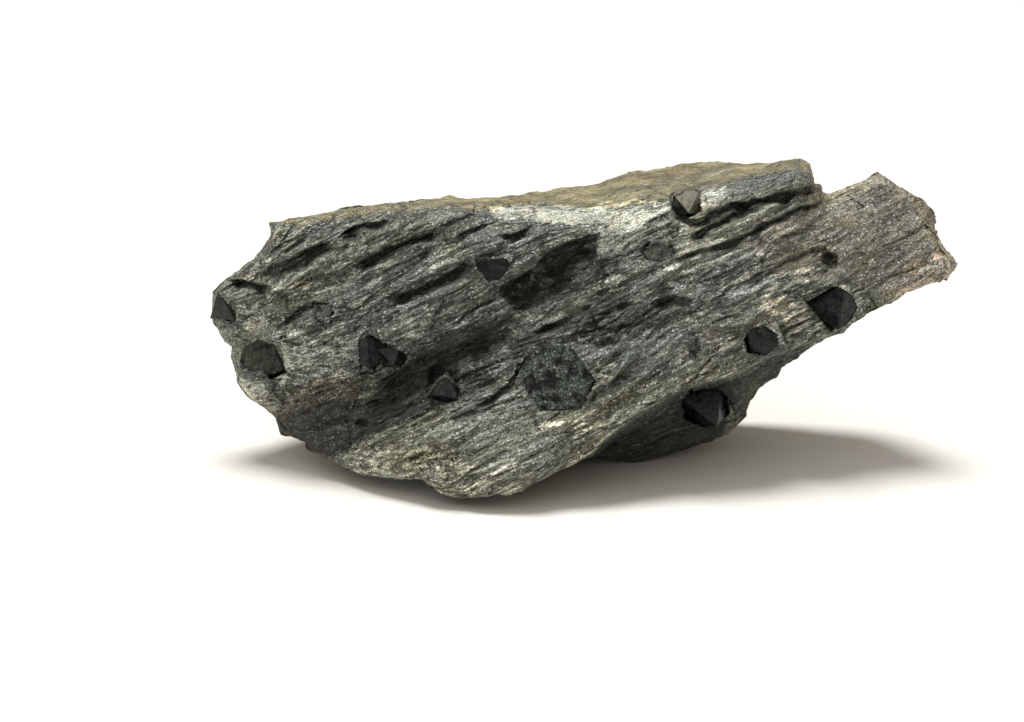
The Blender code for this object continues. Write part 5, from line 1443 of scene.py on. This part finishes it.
def schist_material(name, settings, loose):
    """Chlorite schist, freshly broken: a felt of green-grey scales with bright mica in it.

    The scales lie in the foliation, so every pattern is drawn out along it, and they lean a
    little this way or that, which gives the break its glitter.  Loose flakes are smoother
    than the scales of the break, and each has its own brightness.
    """
    material, add, surface = new_material(name)
    noises, cells = schist_noises(add)
    grain = add("SeparateColor", (cells,), None)
    zones = {kind: add("Attribute", output="Fac", attribute_name=kind) for kind in KINDS}
    skin = add("MapRange", (zones["weathered"], 0.3, 0.9), **EASED)
    base = lay_coats(add, settings.dark, [
        (add("MapRange", (noises[noise], low, high, 0.0, share), **EASED), getattr(settings, coat))
        for noise, low, high, share, coat in SCHIST_COATS])
    base = zone_coats(add, base, settings, zones, noises)
    # the painted shade of the dark zones also hides the pale mica streaks
    veil = add("MapRange", (zones["dark"], 0.0, 1.0, 1.0, 0.2), **EASED)
    for noise, low, high, share, coat in MICA_COATS:
        part = add("MapRange", (noises[noise], low, high, 0.0, share), **EASED)
        part = add("Math", (veil, part), **TIMES)
        base = lay_coats(add, base, [(part, getattr(settings, coat))])
    cracks = fine_cracks(add, zones, noises)
    # painted shade in the fine cracks, which the bump also cuts in
    base = lay_coats(add, base, [(cracks, settings.shadow)])
    base = shaded(add, base, scale_brightness(add, grain[0], noises, skin))
    if loose:
        shade = add("Attribute", output="Fac", attribute_name="shade")
        base = shaded(add, base, add("MapRange", (shade, 0.0, 1.0, 0.45, 1.7), **EASED))
    # painted glint: a few grains are painted bright as if they caught the light, fewer in the painted
    # shade and on the weathered skin
    painted_glint = add("MapRange", (grain[1], 0.93, 0.96), **EASED)
    seen = add("MapRange", (zones["dark"], 1.0, 0.0, 0.15, 0.8), **EASED)
    painted_glint = add("Math", (painted_glint, seen), **TIMES)
    painted_glint = add("Math", (painted_glint, add("MapRange", (skin, 0.0, 1.0, 1.0, 0.15), **EASED)), **TIMES)
    base = lay_coats(add, base, [(painted_glint, settings.painted_sparkle)])

    smooth, rough = (0.22, 0.55) if loose else (0.38, 0.75)
    roughness = add("MapRange", (grain[2], 0.0, 1.0, smooth, rough), **EASED)
    # the painted shade is also made matt
    dull = add("MapRange", (zones["dark"], 0.3, 1.0, 0.0, 0.85), **EASED)
    relief = 0.0
    for noise, part in RELIEF:
        relief = add("Math", (relief, add("Math", (noises[noise], part), **TIMES)), **PLUS)
    relief = add("Math", (relief, cracks), **LESS)
    surface({
        "Base Color": base,
        "Roughness": add("Math", (roughness, dull), operation="MAXIMUM"),
        "IOR": 1.6,
        "Specular IOR Level": 0.5,
        "Normal": add("Bump", {"Height": relief, "Normal": leaned_normal(add, cells, 0.7),
                               "Strength": 1.0, "Distance": BUMP_DEPTH * MM}),
    })
    return material


def magnetite_material(name, settings, grainy, film):
    """Magnetite, natural octahedral faces: iron-black and softly bright, with faint clouds.

    Broken or etched faces are granular, with grains 0.15 mm wide that lean either way.  A
    film of chlorite dust lies where the point attribute says so.
    """
    material, add, surface = new_material(name)
    spot = add("TexCoord", output="Object")
    cloud = add("TexNoise", {"Vector": spot, "Scale": CLOUDS_PER_MM / MM, "Detail": 4.0})
    grit = add("TexNoise", {"Vector": spot, "Scale": GRIT_PER_MM / MM, "Detail": 1.0})
    cells = add("TexVoronoi", {"Vector": spot, "Scale": CRYSTAL_GRAINS_PER_MM / MM}, "Color")
    broken = add("Math", (add("MapRange", (cloud, 0.35, 0.6), **EASED), grainy), **TIMES)
    grit = add("Math", (add("MapRange", (grit, 0.36, 0.60), **EASED), broken), **TIMES)
    # painted glint on the grains of broken faces
    painted_glint = add("MapRange", (add("SeparateColor", (cells,)), 0.92, 0.98), **EASED)
    dusty = add("Attribute", output="Fac", attribute_name="film")
    dusty = add("Math", (dusty, add("MapRange", (cloud, 0.30, 0.55, 0.5, 1.0), **EASED)), **TIMES)
    base = lay_coats(add, settings.black, [
        (add("MapRange", (cloud, 0.35, 0.7, 0.0, 0.6), **EASED), settings.dull),
        (grit, settings.grit),
        (add("Math", (painted_glint, broken), **TIMES), settings.painted_glint),
        (dusty, film),
    ])
    rougher = 0.3 * grainy
    surface({
        "Base Color": base,
        "Roughness": add("MapRange", (cloud, 0.3, 0.7, 0.16 + rougher, 0.32 + rougher), **EASED),
        "IOR": 1.5,
        "Specular IOR Level": 0.2,
        "Normal": add("Bump", {"Height": cloud, "Strength": 0.7,
                               "Normal": leaned_normal(add, cells, 0.06 + 0.8 * grainy),
                               "Distance": (0.05 + 0.2 * grainy) * MM}),
    })
    return material


# ---- operators ------------------------------------------------------------------------------------

def zone_shares(points, normals):
    """Share of each kind of colour at every point: the strongest of its zones, on the front."""
    a, b, _ = to_plane(points)
    facing = (normals * unit(APEX - points)).sum(axis=1)
    front = held(facing / TURN_WIDTH + TURN_START)
    found = {kind: np.zeros(len(points)) for kind in KINDS}
    for kind, zones in ZONES.items():
        for softness, strength, outline in zones:
            share = strength * held(depth_inside(outline, a, b) / softness + 0.5)
            found[kind] = np.maximum(found[kind], share)
    # painted shade: the deeper a slot or a pit, the darker it is painted
    slot = held((ledge_drop(a, b) + PIT_SHADE * pit_depth(a, b)) / SLOT_SHADE_DEPTH) ** 2
    found["dark"] = np.maximum(found["dark"], SLOT_SHADE * slot)
    # painted highlight: the lips above the ledges are coloured light and yellowish, as if lit from above,
    # but not inside the slots; the rim gets the same yellow
    rim = RIM_YELLOW * held(1.0 - rim_distance(a, b) / RIM_WORN)
    worn = np.maximum(LIP_HIGHLIGHT * lip_highlight_mask(a, b), rim)
    found["olive"] = np.maximum(found["olive"], worn * (1.0 - slot))
    for kind in KINDS:
        found[kind] = found[kind] * front
    wall, top, rise = SKIN_SHARE
    skin = (1.0 - front) * (wall + top * np.clip(normals[:, 2] * rise, -1.0, 1.0))
    found["weathered"] = np.maximum(found["weathered"], skin)
    found["brown"] = np.maximum(found["brown"], (1.0 - front) * BACK_STAIN)
    return found


def schist_points(settings, solids):
    """Closed surface of the schist: smooth sheets, their detail and the break's relief."""
    u, v = np.meshgrid(crowd(settings.columns), crowd(settings.rows), indexing="ij")
    front = shaken(*outline_patch(u, v), *FRAYED)
    back = shaken(*outline_patch(*back_grid(u, v)), *FRAYED)
    front_rim, back_rim = rim_distance(*front), rim_distance(*back)
    front_smooth, back_smooth = front_height(*front, front_rim), back_height(*back, back_rim)
    front_numbers, back_numbers = sheet_numbers(settings.columns, settings.rows)
    faces = np.concatenate([sheet_faces(front_numbers, False), sheet_faces(back_numbers, True)])
    smooth = join_sheets(place(*front, front_smooth), place(*back, back_smooth))
    ridge = settings.ridge / MM
    front_full = place(*front, front_smooth + front_detail(*front, front_rim, ridge))
    back_full = place(*back, back_smooth - back_detail(*back, back_rim, ridge))
    fade = join_sheets(rim_fade(front_rim)[..., None], rim_fade(back_rim)[..., None])
    relief = outward_normals(smooth, faces) * break_relief(smooth)[:, None] * fade
    points = join_sheets(front_full, back_full) + relief
    a, b, h = to_plane(points[:front_numbers.size])
    points[:front_numbers.size] = place(a, b, lap_round_crystals(a, b, h, solids))
    return points, faces


class SPECIMEN_OT_schist(bpy.types.Operator):
    """Draws the schist as one closed, finely broken surface in place of its plain solid"""
    bl_idname = "specimen.schist"
    bl_label = "Schist"

    def execute(self, context):
        settings = context.scene.specimen_stone
        points, faces = schist_points(settings, crystal_solids())
        stone = make_piece("schist_fine", points, faces)
        thin_out(stone, settings.triangles)
        soften_flats(stone.data, STONE_CREASE)
        for kind, values in zone_shares(*read_points(stone.data)).items():
            write_share(stone.data, kind, values)
        stone.data.materials.append(schist_material("chlorite_schist_broken", settings, False))
        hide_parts("schist_matrix")
        mica = schist_material("mica_cleavage_flakes", settings, True)
        for side, towards_front in (("front", True), ("back", False)):
            self.add_flakes(stone.data, side, towards_front, settings, mica)
        return {"FINISHED"}

    def add_flakes(self, mesh, side, towards_front, settings, mica):
        """Strews loose mica flakes over one side of the stone"""
        seed = 5 if towards_front else 6
        spots, normals, chance = spots_on(mesh, settings.flakes, towards_front, seed)
        shares = zone_shares(spots, normals)
        size = settings.flake / MM * (1.0 - SKIN_FLAKES * shares["weathered"])
        points, faces = flake_surface(spots, normals, chance, size)
        piece = make_piece("mica_flakes_" + side, points, faces)
        shares["shade"] = chance.random(len(spots)) ** SHADE_POWER
        for kind, values in shares.items():
            write_share(piece.data, kind, np.repeat(values, FLAKE_POINTS))
        piece.data.materials.append(mica)


class SPECIMEN_OT_crystals(bpy.types.Operator):
    """Draws every magnetite crystal with slightly worn edges and growth steps"""
    bl_idname = "specimen.crystals"
    bl_label = "Crystals"

    def execute(self, context):
        settings = context.scene.specimen_crystals
        kinds = {kind: magnetite_material(kind, settings, grainy, getattr(settings, film))
                 for kind, grainy, film in FINISHES}
        faces = crystal_faces(settings.around, settings.upward)
        for name, solids in crystal_solids().items():
            kind, rough, film, towards = LOOKS.get(name, PLAIN_LOOK)
            step = settings.step / MM * (1.0 + rough)
            points = crystal_surface(solids, settings.around, settings.upward, step)
            crystal = make_piece(name + "_fine", points, faces)
            soften_flats(crystal.data, CRYSTAL_CREASE)
            normals = read_points(crystal.data)[1]
            side = np.array(towards) @ np.array((RIGHT, UP, -BACK))
            write_share(crystal.data, "film", film * held((normals @ side - FILM_START) / FILM_EDGE))
            crystal.data.materials.append(kinds[kind])
            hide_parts(name)
        return {"FINISHED"}


def add_sun(name, strength, angle, direction):
    """A soft distant light: direction points from the light to the stone."""
    data = bpy.data.lights.new(name, "SUN")
    data.energy = strength
    data.angle = math.radians(angle)
    lamp = put_in_scene(name, data)
    lamp.rotation_euler = Vector(direction).to_track_quat("-Z", "Y").to_euler()


def add_world(settings):
    """Soft surroundings: a bright band along the horizon, dim above it, less so overhead."""
    world = bpy.data.worlds.new("soft_surroundings")
    world.use_nodes = True
    tree = world.node_tree
    add = partial(add_node, tree)
    way = add("SeparateXYZ", (add("TexCoord", output="Generated"),), "Z")
    height = add("Math", (way,), operation="ABSOLUTE")
    horizon = add("MapRange", (height, 0.10, 0.18, 1.05, 0.0), **EASED)
    above = add("MapRange", (way, 0.1, 1.0, 0.22, 0.40), **EASED)
    both = add("Math", (horizon, above), operation="MAXIMUM")
    tint = lay_coats(add, settings.sky, [
        (add("MapRange", (both, 0.3, 1.0), **EASED), (1.0, 1.0, 1.0))])
    plug(tree, tree.nodes["Background"], {"Strength": both, "Color": tint})
    bpy.context.scene.world = world


def add_floor(settings):
    """A wide, flat, pale table top just under the stone: a square grid of a few faces."""
    side = np.linspace(-FLOOR_REACH, FLOOR_REACH, FLOOR_LINES)
    x, y = np.meshgrid(side, side, indexing="ij")
    points = np.stack([x, y, np.full(x.shape, -FLOOR_GAP)], axis=-1).reshape(-1, 3)
    faces = sheet_faces(np.arange(x.size).reshape(x.shape), False)
    mesh = bpy.data.meshes.new("table_top")
    mesh.from_pydata((points * MM).tolist(), [], faces.tolist())
    floor = put_in_scene("table_top", mesh)
    mesh.materials.append(table_material(settings))


def table_material(settings):
    """Board with a matt lacquer, sprayed on: pale and even, with the faintest clouds."""
    material, add, surface = new_material("matt_lacquered_board")
    spot = add("TexCoord", output="Object")
    clouds = add("TexNoise", {"Vector": spot, "Scale": BOARD_CLOUDS_PER_MM / MM})
    share = add("MapRange", (clouds, 0.3, 0.7, 0.0, 0.2), **EASED)
    base = lay_coats(add, settings.floor, [(share, settings.tooth)])
    surface({"Base Color": base, "Roughness": 0.7})
    return material


def add_camera():
    """The camera stands at the apex of the fan and looks along the base plane's normal."""
    data = bpy.data.cameras.new("camera")
    data.sensor_width = SENSOR_WIDTH
    data.lens = SENSOR_WIDTH * FOCUS / IMAGE_WIDTH
    data.clip_start = CLIP_START * MM
    camera = put_in_scene("camera", data)
    turn = Matrix((RIGHT, UP, -BACK)).transposed().to_4x4()
    camera.matrix_world = Matrix.Translation(Vector(APEX) * MM) @ turn
    bpy.context.scene.camera = camera


class SPECIMEN_OT_stage(bpy.types.Operator):
    """Sets the pale table top, the soft lights and the camera"""
    bl_idname = "specimen.stage"
    bl_label = "Stage"

    def execute(self, context):
        settings = context.scene.specimen_stage
        add_floor(settings)
        add_world(settings)
        add_sun("key_light", settings.key, *KEY_LIGHT)
        add_sun("second_light", settings.fill, *SECOND_LIGHT)
        add_camera()
        context.scene.view_settings.view_transform = "Standard"
        return {"FINISHED"}


class SPECIMEN_PT_panel(bpy.types.Panel):
    """Lists the specimen's pieces and their settings"""
    bl_idname = "SPECIMEN_PT_panel"
    bl_label = "Specimen"
    bl_space_type = "VIEW_3D"
    bl_region_type = "UI"
    bl_category = "Specimen"

    def draw(self, context):
        layout = self.layout
        for operator, group in STEPS:
            box = layout.box()
            box.operator(operator)
            settings = getattr(context.scene, group)
            for name in settings.__annotations__:
                box.prop(settings, name)


STEPS = (
    ("specimen.schist", "specimen_stone"),
    ("specimen.crystals", "specimen_crystals"),
    ("specimen.stage", "specimen_stage"),
)
GROUPS = (
    ("specimen_stone", StoneSettings),
    ("specimen_crystals", CrystalSettings),
    ("specimen_stage", StageSettings),
)
CLASSES = (StoneSettings, CrystalSettings, StageSettings, SPECIMEN_OT_schist,
           SPECIMEN_OT_crystals, SPECIMEN_OT_stage, SPECIMEN_PT_panel)


def register():
    """Makes the classes and their settings known."""
    for cls in CLASSES:
        bpy.utils.register_class(cls)
    for name, group in GROUPS:
        setattr(bpy.types.Scene, name, bpy.props.PointerProperty(type=group))


def unregister():
    """Takes the settings and the classes away again."""
    for name, _ in GROUPS:
        delattr(bpy.types.Scene, name)
    for cls in reversed(CLASSES):
        bpy.utils.unregister_class(cls)


def main():
    """Draws every piece and the stage."""
    register()
    bpy.ops.specimen.schist()
    bpy.ops.specimen.crystals()
    bpy.ops.specimen.stage()


if __name__ == "__main__":
    main()
